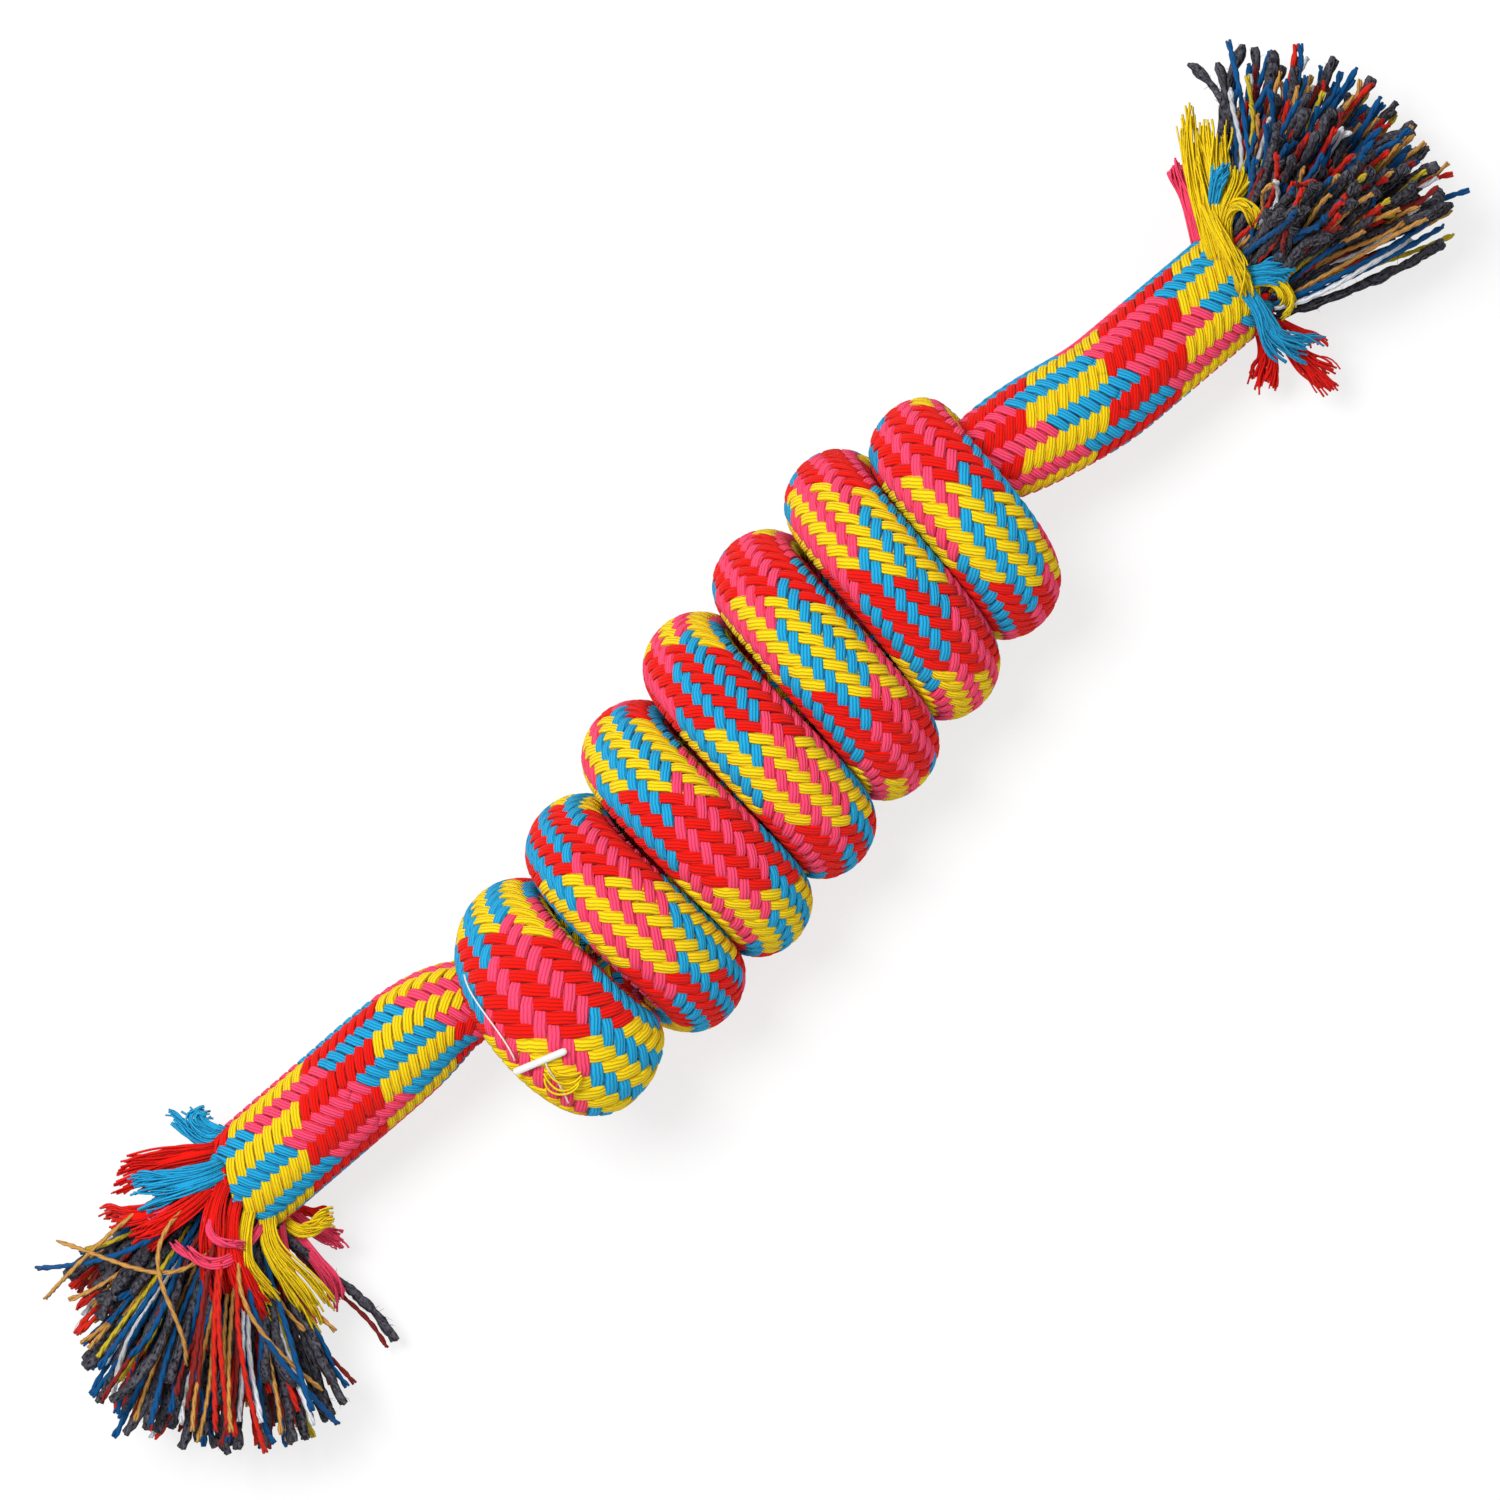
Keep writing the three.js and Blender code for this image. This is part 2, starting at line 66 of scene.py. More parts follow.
# The middle wraps bulge to both sides, most at SAG_MIDDLE and none SAG_REACH wraps from it
COIL_SAG = 1.4
SAG_MIDDLE = 0.1
SAG_REACH = 2.3
# The left half of the coil is wound tighter, so that its far side lies nearer
SLIM_SHARE = 0.075
SLIM_FROM = -5.0
SLIM_LENGTH = 22.0
# Inside the wraps two runs of the rope lie side by side
RUN_GAP = 0.5
RUN_INSET = 7.0
EXIT_INSET = 1.0
RUN_STATIONS = 60
RUN_ROOM = COIL_RADIUS - WRAP_THICKNESS - RUN_GAP
RUN_HALF_THICKNESS = (RUN_ROOM - RUN_GAP / 2) / 2
RUN_HALF_WIDTH = math.sqrt(RUN_HALF_THICKNESS * RUN_ROOM)
RUN_RADIUS = RUN_GAP / 2 + RUN_HALF_THICKNESS
# First and last angle, share at which it sinks, reach, swell and lead of each end wrap
LEFT_TURN = (1071, 1281, 0.68, 57, 1.36, 0)
RIGHT_TURN = (-920, -1212, 0.13, 31, 1.04, 6.7)
TURN_EASE = 0.07
TURN_STEPS = 60
# The part of each run that the coil's own braid goes on for, out of sight
COIL_RUN = slice(8, 24)
STATION_STEP = 0.5
SOFTENING = 3.0
SOFT_STATIONS = 12
CROWN_CROWDING = 0.24


def smooth(t):
    """Smoothstep of t held between 0 and 1: three squares less two cubes."""
    t = np.clip(t, 0, 1)
    return t * t * (3 - 2 * t)


def mix(a, b, t):
    """The value a share t of the way from a to b."""
    return a + (b - a) * t


def metres(points):
    """Metres from the frame's origin, which lies half a pitch beside the coil's middle. Rope lower than
    FLOOR_PRESS flattens softly: its height falls off by an exponential, and stays above the floor."""
    points = np.array(points, float)
    height = points[..., 2]
    pressed = FLOOR_PRESS * np.exp(np.minimum(height - FLOOR_PRESS, 0) / FLOOR_PRESS)
    points[..., 2] = np.where(height < FLOOR_PRESS, pressed, height)
    points[..., 0] += WRAP_PITCH / 2
    return points * METRE


def winding_lean(angle):
    """How far a wrap leans along the coil, which changes evenly from wrap to wrap."""
    return WRAP_LEAN - LEAN_GROWTH * (angle - TOP) / 360


def winding_x(angle):
    """Place along the coil of the winding at an angle: one pitch a turn, plus the lean's cosine."""
    return -WRAP_PITCH * (angle - TOP) / 360 + winding_lean(angle) * np.cos(np.radians(angle))


def winding_slope(angle):
    """Millimetres along the coil for each degree of winding: the slope of winding_x."""
    turned = np.radians(angle)
    pitch = (WRAP_PITCH + LEAN_GROWTH * np.cos(turned)) / 360
    return -pitch - winding_lean(angle) * math.radians(1) * np.sin(turned)


def wrap_half_width(angle):
    """Half the width that the pitch leaves to a leaning wrap, and a little more to press its neighbours."""
    steepness = np.arctan(winding_slope(angle) / (math.radians(1) * WRAP_RADIUS))
    return (WRAP_PITCH - LEAN_GROWTH) * np.cos(steepness) / 2 + WRAP_PRESS


def wrap_sag(angle):
    """How far the middle wraps bulge to both sides: a parabola over the wraps times the cosine squared."""
    wrap = (TOP - angle) / 360
    share = np.clip(1 - ((wrap - SAG_MIDDLE) / SAG_REACH) ** 2, 0, 1)
    return COIL_SAG * share * np.cos(np.radians(angle)) ** 2


def stations(x, radius, angle, half_thickness, half_width):
    """Rows of x, y, z, angle, half thickness and half width, for rope at an angle round the coil's axis."""
    around = np.radians(angle)
    y = radius * np.cos(around)
    z = AXIS_HEIGHT + radius * np.sin(around)
    return np.stack(np.broadcast_arrays(x, y, z, angle, half_thickness, half_width), 1)


def turn_stations(start, end, sink_from, reach, swell, lead):
    """The end wrap: a Hermite curve along the coil from the winding to the run, while the radius sinks.
    The wrap swells halfway, and goes past the start of the run by lead."""
    side = np.sign(end)
    u = np.linspace(0, 1, TURN_STEPS + 1)[1:]
    slope = winding_slope(start) * (end - start) * (1 + TURN_EASE)
    x = winding_x(start) * (2 * u**3 - 3 * u**2 + 1) + slope * (u**3 - 2 * u**2 + u)
    x += -side * (COIL_END - RUN_INSET + lead) * (3 * u**2 - 2 * u**3) + side * reach * (u**3 - u**2)
    sink = smooth((u - sink_from) / (1 - sink_from))
    sweep = start + (end - start) * ((1 + TURN_EASE) * u - TURN_EASE * u**3)
    width = mix(wrap_half_width(start), RUN_HALF_WIDTH, sink) * swell ** np.sin(math.pi * u)
    thickness = mix(WRAP_THICKNESS / 2, RUN_HALF_THICKNESS, sink)
    return stations(x, mix(WRAP_RADIUS, RUN_RADIUS, sink), sweep, thickness, width)


def run_stations(near, far):
    """The straight run inside the wraps, from where one end wrap dives to the other end of the coil.
    It twists evenly, the shorter way, until it lies opposite the other run."""
    side = -np.sign(near[1])
    opposite = far[1] + 180
    twist = (opposite - near[1] + 180) % 360 - 180
    t = np.linspace(0, 1, RUN_STATIONS)
    x = mix(side * (COIL_END - RUN_INSET), -side * (COIL_END - EXIT_INSET), t)
    return stations(x, RUN_RADIUS, near[1] + twist * t, RUN_HALF_THICKNESS, RUN_HALF_WIDTH)


def rope_path(rows, crowding):
    """Even stations along the rows, softened by a Gaussian, with the directions out and across.
    Crowding tells how much closer the strands lie where bent rope is stretched than on straight rope."""
    travelled = np.concatenate([[0], np.cumsum(np.linalg.norm(np.diff(rows[:, :3], axis=0), axis=1))])
    grid = np.linspace(0, travelled[-1], int(travelled[-1] / STATION_STEP))
    even = np.stack([np.interp(grid, travelled, column) for column in rows.T], 1)
    offsets = np.arange(-SOFT_STATIONS, SOFT_STATIONS + 1) * STATION_STEP
    kernel = np.exp(-0.5 * (offsets / SOFTENING) ** 2)
    kernel /= kernel.sum()
    before = 2 * even[:1] - even[SOFT_STATIONS:0:-1]
    after = 2 * even[-1:] - even[-2:-2 - SOFT_STATIONS:-1]
    padded = np.concatenate([before, even, after])
    even = np.stack([np.convolve(column, kernel, "valid") for column in padded.T], 1)
    centre = even[:, :3]
    along = np.gradient(centre, axis=0)
    along /= np.linalg.norm(along, axis=1, keepdims=True)
    around = np.radians(even[:, 3])
    out = np.stack([np.zeros(len(around)), np.cos(around), np.sin(around)], 1)
    out -= along * (out * along).sum(1, keepdims=True)
    out /= np.linalg.norm(out, axis=1, keepdims=True)
    steps = np.linalg.norm(np.diff(centre, axis=0), axis=1)
    return {
        "s": np.concatenate([[0], np.cumsum(steps)]), "centre": centre, "out": out,
        "across": np.cross(along, out), "angle": even[:, 3],
        "half_thickness": even[:, 4], "half_width": even[:, 5], "crowding": crowding,
    }


def read(path, key, s):
    """The path's value at each distance s, read between its stations."""
    values = path[key]
    if values.ndim == 1:
        return np.interp(s, path["s"], values)
    return np.stack([np.interp(s, path["s"], column) for column in values.T], -1)


def rope_surface(path, s, theta, inset):
    """Points of the rope's oval skin at distance s and angle theta, pressed in by inset, and its normals.
    On bent rope half the crowding times the angle's double sine draws it to the outer and inner sides."""
    theta = theta - path["crowding"] / 2 * np.sin(2 * theta)
    thick = read(path, "half_thickness", s) - inset
    wide = read(path, "half_width", s) - inset
    out = read(path, "out", s)
    across = read(path, "across", s)
    cosine, sine = np.cos(theta)[..., None], np.sin(theta)[..., None]
    points = read(path, "centre", s) + out * cosine * thick[..., None] + across * sine * wide[..., None]
    normals = out * cosine / thick[..., None] + across * sine / wide[..., None]
    return points, normals / np.linalg.norm(normals, axis=-1, keepdims=True)


run_to_right = run_stations(LEFT_TURN, RIGHT_TURN)
run_to_left = run_stations(RIGHT_TURN, LEFT_TURN)
winding_angles = np.arange(RIGHT_TURN[0], LEFT_TURN[0] + 1, WINDING_STEP)
winding = stations(
    winding_x(winding_angles), WRAP_RADIUS + wrap_sag(winding_angles), winding_angles,
    WRAP_THICKNESS / 2, wrap_half_width(winding_angles))
coil_rows = np.concatenate([
    run_to_left[COIL_RUN][::-1], turn_stations(*RIGHT_TURN)[::-1], winding,
    turn_stations(*LEFT_TURN), run_to_right[COIL_RUN]])
slimmer = SLIM_SHARE * smooth((SLIM_FROM - coil_rows[:, 0]) / SLIM_LENGTH)
coil_rows[:, 1] -= slimmer * (coil_rows[:, 1] + COIL_RADIUS)
coil_path = rope_path(coil_rows, CROWN_CROWDING)
coil_s = coil_path["s"]


def linear(code):
    """Linear RGB and full alpha of an sRGB hex colour."""
    parts = [int(code[i:i + 2], 16) / 255 for i in (1, 3, 5)]
    return [c / 12.92 if c <= 0.04045 else ((c + 0.055) / 1.055) ** 2.4 for c in parts] + [1.0]


def add_node(tree, kind, settings, inputs):
    """Adds a shader node, sets its options, and links or fills each named or numbered input."""
    node = tree.nodes.new(kind)
    for key, value in settings.items():
        setattr(node, key, value)
    for key, value in inputs.items():
        if isinstance(value, bpy.types.NodeSocket):
            tree.links.new(value, node.inputs[key])
        else:
            node.inputs[key].default_value = value
    return node


# Real fibres are about 0.02 mm thick. The streaks are drawn near 0.2 mm wide, because finer ones don't show
SEED_SPREAD = 97.0
PLY_DEPTH = 0.2
# The plies sway about once in two millimetres of strand, by some radians of their ridges
PLY_SWAY_SCALE = 0.45
PLY_SWAY = 2.4
# The edges of a strand, from this share of its half width, are given painted shade
EDGE_FROM = 0.7
EDGE_SHADE = 0.45


def cotton(name, lit, shaded, plies, roughness=0.85, streaks=0.5, grain=(9.0, 0.9), dark=-0.2, bright=0.95):
    """Spun cotton or wool, matt and soft: the strand attribute gives place across (-1 to 1), millimetres
    along and a seed. Plies lie side by side as rounded ridges, the sine of the place across, with painted
    shade in the grooves between them. Over them lie streaks of fibre, the fibre's own uneven tone, strong
    and short on wool: grain is how many there are in half a strand across and in a millimetre along. The
    height of both, less at the edges as painted shade where strands meet, mixes the shaded colour below
    dark and the lit colour above bright, as painted light and shade."""
    material = bpy.data.materials.new(name)
    material.use_nodes = True
    tree = material.node_tree
    shader = tree.nodes["Principled BSDF"]
    times = {"operation": "MULTIPLY"}
    plus = {"operation": "ADD"}
    strand = add_node(tree, "ShaderNodeAttribute", {"attribute_name": "strand"}, {})
    parts = add_node(tree, "ShaderNodeSeparateXYZ", {}, {0: strand.outputs["Vector"]})
    across, along, seed = parts.outputs
    seeded = add_node(tree, "ShaderNodeMath", times, {0: seed, 1: SEED_SPREAD})
    sway_place = add_node(tree, "ShaderNodeCombineXYZ", {}, {0: seeded.outputs[0], 1: along})
    sway = add_node(
        tree, "ShaderNodeTexNoise", {"noise_dimensions": "2D"},
        {"Vector": sway_place.outputs[0], "Scale": PLY_SWAY_SCALE})
    swayed = add_node(tree, "ShaderNodeMath", times, {0: sway.outputs[0], 1: PLY_SWAY})
    scaled = add_node(tree, "ShaderNodeMath", times, {0: across, 1: plies * math.pi / 2})
    shifted = add_node(tree, "ShaderNodeMath", plus, {0: scaled.outputs[0], 1: swayed.outputs[0]})
    wave = add_node(tree, "ShaderNodeMath", {"operation": "SINE"}, {0: shifted.outputs[0]})
    ridge = add_node(tree, "ShaderNodeMath", {"operation": "ABSOLUTE"}, {0: wave.outputs[0]})
    wide = add_node(tree, "ShaderNodeMath", times, {0: across, 1: grain[0]})
    long = add_node(tree, "ShaderNodeMath", times, {0: along, 1: grain[1]})
    streak_place = add_node(
        tree, "ShaderNodeCombineXYZ", {}, {0: wide.outputs[0], 1: long.outputs[0], 2: seeded.outputs[0]})
    streak = add_node(
        tree, "ShaderNodeTexNoise", {}, {"Vector": streak_place.outputs[0], "Scale": 1.0, "Detail": 3.0})
    streaked = add_node(tree, "ShaderNodeMath", times, {0: streak.outputs[0], 1: streaks})
    height = add_node(tree, "ShaderNodeMath", plus, {0: ridge.outputs[0], 1: streaked.outputs[0]})
    bump = add_node(
        tree, "ShaderNodeBump", {},
        {"Strength": 0.8, "Distance": PLY_DEPTH * METRE, "Height": height.outputs[0]})
    # Painted shade at the strand's edges, where its neighbours meet it
    aside = add_node(tree, "ShaderNodeMath", {"operation": "ABSOLUTE"}, {0: across})
    edge = add_node(
        tree, "ShaderNodeMapRange", {}, {0: aside.outputs[0], 1: EDGE_FROM, 2: 1.0, 3: 0.0, 4: EDGE_SHADE})
    painted_shade_height = add_node(
        tree, "ShaderNodeMath", {"operation": "SUBTRACT"}, {0: height.outputs[0], 1: edge.outputs[0]})
    # The height mixes lit and shaded colour: painted light on ridges, painted shade in grooves
    light = add_node(
        tree, "ShaderNodeMapRange", {}, {0: painted_shade_height.outputs[0], 1: dark, 2: bright, 3: 0.0, 4: 1.0})
    colour = add_node(
        tree, "ShaderNodeMix", {"data_type": "RGBA"},
        {0: light.outputs[0], 6: linear(shaded), 7: linear(lit)})
    tree.links.new(colour.outputs[2], shader.inputs["Base Color"])
    tree.links.new(bump.outputs[0], shader.inputs["Normal"])
    shader.inputs["Roughness"].default_value = roughness
    shader.inputs["Specular IOR Level"].default_value = 0.08
    shader.inputs["Sheen Weight"].default_value = 0.04
    shader.inputs["Sheen Roughness"].default_value = 0.6
    return material


def tube_piece(name, points, material, strand):
    """One mesh of many closed tubes: points[tube, ring, side] joined in quads, with a face over each end.
    strand is the attribute of each point that the material reads."""
    tubes, rings, sides = points.shape[:3]
    index = np.arange(tubes * rings * sides).reshape(tubes, rings, sides)
    onward = np.roll(index, -1, axis=2)
    quads = np.stack([index[:, :-1], onward[:, :-1], onward[:, 1:], index[:, 1:]], -1).reshape(-1, 4)
    caps = np.concatenate([index[:, 0, ::-1], index[:, -1]])
    loops = np.concatenate([quads.ravel(), caps.ravel()]).astype(np.int32)
    starts = np.concatenate([
        np.arange(len(quads)) * 4, len(quads) * 4 + np.arange(len(caps)) * sides]).astype(np.int32)
    mesh = bpy.data.meshes.new(name)
    mesh.vertices.add(tubes * rings * sides)
    mesh.vertices.foreach_set("co", metres(points).astype(np.float32).ravel())
    mesh.loops.add(len(loops))
    mesh.loops.foreach_set("vertex_index", loops)
    mesh.polygons.add(len(starts))
    mesh.polygons.foreach_set("loop_start", starts)
    mesh.update(calc_edges=True)
    mesh.validate()
    mesh.shade_smooth()
    attribute = mesh.attributes.new("strand", "FLOAT_VECTOR", "POINT")
    attribute.data.foreach_set("vector", strand.astype(np.float32).ravel())
    mesh.materials.append(material)
    piece = bpy.data.objects.new(name, mesh)
    bpy.context.scene.collection.objects.link(piece)
    return piece


# The braid: sixteen strands wound each way, over two and under two, round the core
CARRIERS = 16
HALF_SET = CARRIERS // 2
WEAVE_HEIGHT = 0.42
WARM_ON_TOP = 0.12
DIVE_SHARPNESS = 1.9
STRAND_INSET = 0.9
STRAND_HALF_THICKNESS = 0.5
STRAND_SQUARENESS = 3.0
WARM_FILL = 0.55
COOL_FILL = 0.52
STRAND_SIDES = 6
STRAND_STEP = 0.5
# Keeps a piece to about 120,000 triangles
STRAND_RINGS_A_PIECE = 10000
# Millimetres of slanting strand in a millimetre of rope
STRAND_LENGTH = 1.9
CORE_INSET = 2.1
CORE_SIDES = 20
CORE_STEP = 2.0
# First carrier of each colour, and whether it is of the warm set, which winds against the cool one
COLOURS = {
    "yellow": (0, True), "red": (HALF_SET, True), "blue": (0, False), "pink": (HALF_SET, False),
}
# Dyed cotton, loosely spun: full, matt colours, given as a lit and a shaded colour,
# with painted shade in the grooves between the plies
STRAND_PLIES = 4
COTTONS = {
    "yellow": cotton("cotton_yellow", "#F8D612", "#B88404", STRAND_PLIES),
    "red": cotton("cotton_red", "#F0160A", "#A00805", STRAND_PLIES),
    "blue": cotton("cotton_blue", "#22A8DC", "#056088", STRAND_PLIES),
    "pink": cotton("cotton_pink", "#FF4C74", "#C01828", STRAND_PLIES),
}
# The core is mixed waste cotton of many colours. Its tube is a dull dark grey,
# painted shade for the dark chinks of the braid
CORE_PLIES = 5
core_painted_shade_material = cotton("core_yarn", "#3A3436", "#201C1E", CORE_PLIES)


def oval(sides, power):
    """Places across and up of a unit superellipse, whose power above 2 squares its corners."""
    turn = np.arange(sides) * TAU / sides
    across = np.sign(np.cos(turn)) * np.abs(np.cos(turn)) ** (2 / power)
    up = np.sign(np.sin(turn)) * np.abs(np.sin(turn)) ** (2 / power)
    return across, up


def strands(path, s, warm_turns, cool_turns, first, warm):
    """Tube points of half a set of strands. Carrier i of sixteen lies at i sixteenths of a turn, less the
    warm turns or plus the cool turns so far. It floats over two crossing strands and dives under two: its
    height is the cosine of eight times its angle from the columns, midway between both sets of turns."""
    carriers = np.arange(first, first + HALF_SET)[:, None]
    turns = carriers / CARRIERS + (-warm_turns if warm else cool_turns)[None]
    theta = TAU * turns
    wave = np.cos(HALF_SET * (theta - math.pi * (cool_turns - warm_turns)[None]) + math.pi / 4)
    lift = np.tanh(DIVE_SHARPNESS * (wave + WARM_ON_TOP)) * (1 if warm else -1)
    s_all = np.broadcast_to(s, theta.shape)
    middle, normal = rope_surface(path, s_all, theta, STRAND_INSET - WEAVE_HEIGHT * lift)
    beside, _ = rope_surface(path, s_all, theta + TAU / CARRIERS, STRAND_INSET - WEAVE_HEIGHT * lift)
    along = np.gradient(middle, axis=1)
    along /= np.linalg.norm(along, axis=-1, keepdims=True)
    across = np.cross(along, normal)
    across /= np.linalg.norm(across, axis=-1, keepdims=True)
    up = np.cross(across, along)
    spacing = np.abs(((beside - middle) * across).sum(-1))
    half_width = spacing * (WARM_FILL if warm else COOL_FILL)
    section_across, section_up = oval(STRAND_SIDES, STRAND_SQUARENESS)
    points = middle[:, :, None] + across[:, :, None] * (half_width[..., None] * section_across)[..., None]
    points = points + up[:, :, None] * (STRAND_HALF_THICKNESS * section_up)[:, None]
    strand = np.zeros(points.shape)
    strand[..., 0] = section_across
    strand[..., 1] = s_all[..., None] * STRAND_LENGTH
    strand[..., 2] = (carriers / CARRIERS + (0.5 if warm else 0.0))[..., None]
    return points, strand


def rope_pieces(name, path, span, warm_turns, cool_turns, bind, jacket_nodes, core_nodes):
    """The four colours of braid and the core tube over one span of rope, with turns at every station."""
    count = int((span[1] - span[0]) / STRAND_STEP)
    s = np.linspace(span[0], span[1], count)
    warm_at = np.interp(s, path["s"], warm_turns)
    cool_at = np.interp(s, path["s"], cool_turns)
    for colour, (first, warm) in COLOURS.items():
        points, strand = strands(path, s, warm_at, cool_at, first, warm)
        groups = np.array_split(np.arange(len(points)), len(points) * count // STRAND_RINGS_A_PIECE + 1)
        for number, group in enumerate(groups, 1):
            piece = tube_piece(f"{name}_{colour}_{number}", points[group], COTTONS[colour], strand[group])
            bind(piece)
            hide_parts(*jacket_nodes)
    s = np.linspace(span[0], span[1], int((span[1] - span[0]) / CORE_STEP))
    s_all, theta = np.meshgrid(s, -np.arange(CORE_SIDES) * TAU / CORE_SIDES, indexing="ij")
    points, _ = rope_surface(path, s_all, theta, CORE_INSET)
    strand = np.stack([np.sin(theta), s_all, np.zeros(theta.shape)], -1)
    # The core tube's dark grey is painted shade in the chinks between the strands
    piece = tube_piece(f"{name}_core", points[None], core_painted_shade_material, strand[None])
    bind(piece)
    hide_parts(*core_nodes)


# Turns of the warm and cool carriers where wraps 7 to 1 stand on top, measured from the colour changes
WARM_AT_TOPS = np.array([0.041, 3.492, 6.306, 9.039, 11.676, 14.186, 16.878])
COOL_AT_TOPS = np.array([0.521, 3.715, 6.796, 10.017, 13.149, 16.334, 19.368])
# Millimetres of rope in one turn of each set near the tops, and how far from a top that holds
WARM_LAY = 36.0
COOL_LAY = 34.5
CROWN_REACH = 20.0
MIDDLE_WRAP = (WRAP_COUNT + 1) // 2
TOP_ANGLES = TOP + 360 * (MIDDLE_WRAP - np.arange(WRAP_COUNT, 0, -1))
# The stations at both ends are left out, because the runs' angles don't follow the winding
WOUND = slice(60, -60)
top_s = np.interp(TOP_ANGLES, coil_path["angle"][WOUND], coil_s[WOUND])


def coil_turns(at_tops, lay):
    """Turns at every station of the coil: at the lay near the wraps' tops and past the ends, and between
    the wraps in a straight line from one crown to the next."""
    knots = np.stack([top_s - CROWN_REACH, top_s + CROWN_REACH], 1).ravel()
    turns_there = np.stack([at_tops - CROWN_REACH / lay, at_tops + CROWN_REACH / lay], 1).ravel()
    turns = np.interp(coil_s, knots, turns_there)
    return turns + (np.minimum(coil_s - knots[0], 0) + np.maximum(coil_s - knots[-1], 0)) / lay


rope_pieces(
    "knot", coil_path, (0, coil_s[-1]),
    coil_turns(WARM_AT_TOPS, WARM_LAY), coil_turns(COOL_AT_TOPS, COOL_LAY),
    lambda piece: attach(piece, "knot"), ["knot_jacket"], ["knot_core"])

# The tag pin: a white moulded plastic bar with a clear thread, pushed through the first wrap.
# It has pulled a few yellow plies out of the braid beside it. Its points are x, y on the wrap.
PIN_BAR_ENDS = [(-66.7, -2.4), (-58.3, -6.8)]
PIN_BAR_RADIUS = 0.62
PIN_BAR_LIFT = 0.3
PIN_BAR_RINGS = 25
PIN_BAR_SIDES = 14
# The bar's ends are rounded by a high power of the place along it, down to this share of its area
PIN_BAR_SQUARENESS = 30
PIN_BAR_END = 0.3
PIN_THREAD = [(-62.1, -5.5), (-62.9, -7.2), (-63.6, -9.5), (-65.1, -12.5)]
PIN_FILAMENT = [(-59.6, 14.0), (-61.6, 9.7), (-63.0, 4.1), (-65.0, -1.3)]
PIN_THREAD_LIFT = 0.1
PIN_FILAMENT_LIFT = 0.15
PIN_THREAD_RADIUS = 0.14
PIN_THREAD_RINGS = 20
PIN_THREAD_SIDES = 8
PULLED_LOOPS = [
    [(-62.3, -6.9), (-62.2, -8.3), (-61.3, -9.7), (-59.7, -10.9)],
    [(-63.1, -6.7), (-63.3, -8.8), (-62.3, -10.6), (-60.0, -11.3)],
    [(-63.6, -6.3), (-64.4, -9.3), (-63.2, -11.2), (-60.2, -11.6)],
    [(-64.2, -6.9), (-65.2, -9.7), (-63.3, -11.7), (-61.0, -11.5)],
]
PULLED_LIFT = 0.4
PULLED_RADIUS = 0.21
PULLED_RINGS = 24
PULLED_SIDES = 6
# The length of rope that holds the pin, and the steps at which its skin is looked up for the height
PINNED_LENGTH = 170
SKIN_STEP = 0.7
SKIN_TURN = 0.08
SKIN_NEAR = 1.5
# A leaning upright, along which no tube runs
UPRIGHT = np.array([0.13, 0.21, 0.97])


def plastic(name, code, roughness, transmission):
    """Moulded nylon of one colour: smooth and milky with a soft gloss, as some light goes through."""
    material = bpy.data.materials.new(name)
    material.use_nodes = True
    shader = material.node_tree.nodes["Principled BSDF"]
    shader.inputs["Base Color"].default_value = linear(code)
    shader.inputs["Roughness"].default_value = roughness
    shader.inputs["Transmission Weight"].default_value = transmission
    return material


def sides_of(lines, upright):
    """Directions square to lines[tube, ring]: sideways, by the cross with upright, and up from both."""
    along = np.gradient(lines, axis=1)
    along /= np.linalg.norm(along, axis=-1, keepdims=True)
    side = np.cross(along, upright)
    side /= np.linalg.norm(side, axis=-1, keepdims=True)
    return side, np.cross(side, along)


def rings_along(lines, radius, sides):
    """Tube points round lines[tube, ring], with radius given for every ring."""
    side, up = sides_of(lines, UPRIGHT)
    turn = -np.arange(sides) * TAU / sides
    ring = side[:, :, None] * np.cos(turn)[:, None] + up[:, :, None] * np.sin(turn)[:, None]
    return lines[:, :, None] + ring * radius[..., None, None]


def across_tube(points, seeds, reach=1.0):
    """The strand attribute of plain tubes: sine round the tube up to reach, millimetres along, a seed."""
    sides = points.shape[2]
    strand = np.zeros(points.shape)
    strand[..., 0] = reach * np.sin(np.arange(sides) * TAU / sides)
    steps = np.linalg.norm(np.diff(points.mean(2), axis=1), axis=-1)
    strand[:, 1:, :, 1] = np.cumsum(steps, axis=1)[..., None]
    strand[..., 2] = np.asarray(seeds)[:, None, None]
    return strand


def curve_through(points, t):
    """The cubic through four points at equal shares of t, by its Lagrange weights."""
    points = np.asarray(points, float)
    nodes = np.arange(4) / 3
    weights = []
    for i in range(4):
        others = [j for j in range(4) if j != i]
        weights.append(np.prod([(t - nodes[j]) / (nodes[i] - nodes[j]) for j in others], axis=0))
    return np.tensordot(np.stack(weights, -1), points, 1)


def on_wrap(points, lift):
    """Points given as x, y on the first wrap, set on the highest rope within SKIN_NEAR, plus lift."""
    distances = np.arange(coil_s[-1] - PINNED_LENGTH, coil_s[-1], SKIN_STEP)
    s, theta = np.meshgrid(distances, np.arange(0, TAU, SKIN_TURN), indexing="ij")
    skin = rope_surface(coil_path, s, theta, 0.0)[0].reshape(-1, 3)
    points = np.asarray(points, float)
    apart = np.hypot(skin[None, :, 0] - points[:, None, 0], skin[None, :, 1] - points[:, None, 1])
    height = np.where(apart < SKIN_NEAR, skin[None, :, 2], 0).max(1)
    return np.column_stack([points, height + lift])


def pin_piece(name, lines, radius, sides, material):
    """A piece of the tag pin, or of the braid that it has pulled, as tubes along lines."""
    points = rings_along(lines, radius, sides)
    piece = tube_piece(name, points, material, across_tube(points, np.arange(len(lines)) / len(lines)))
    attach(piece, "knot")
    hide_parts("tag_pin")


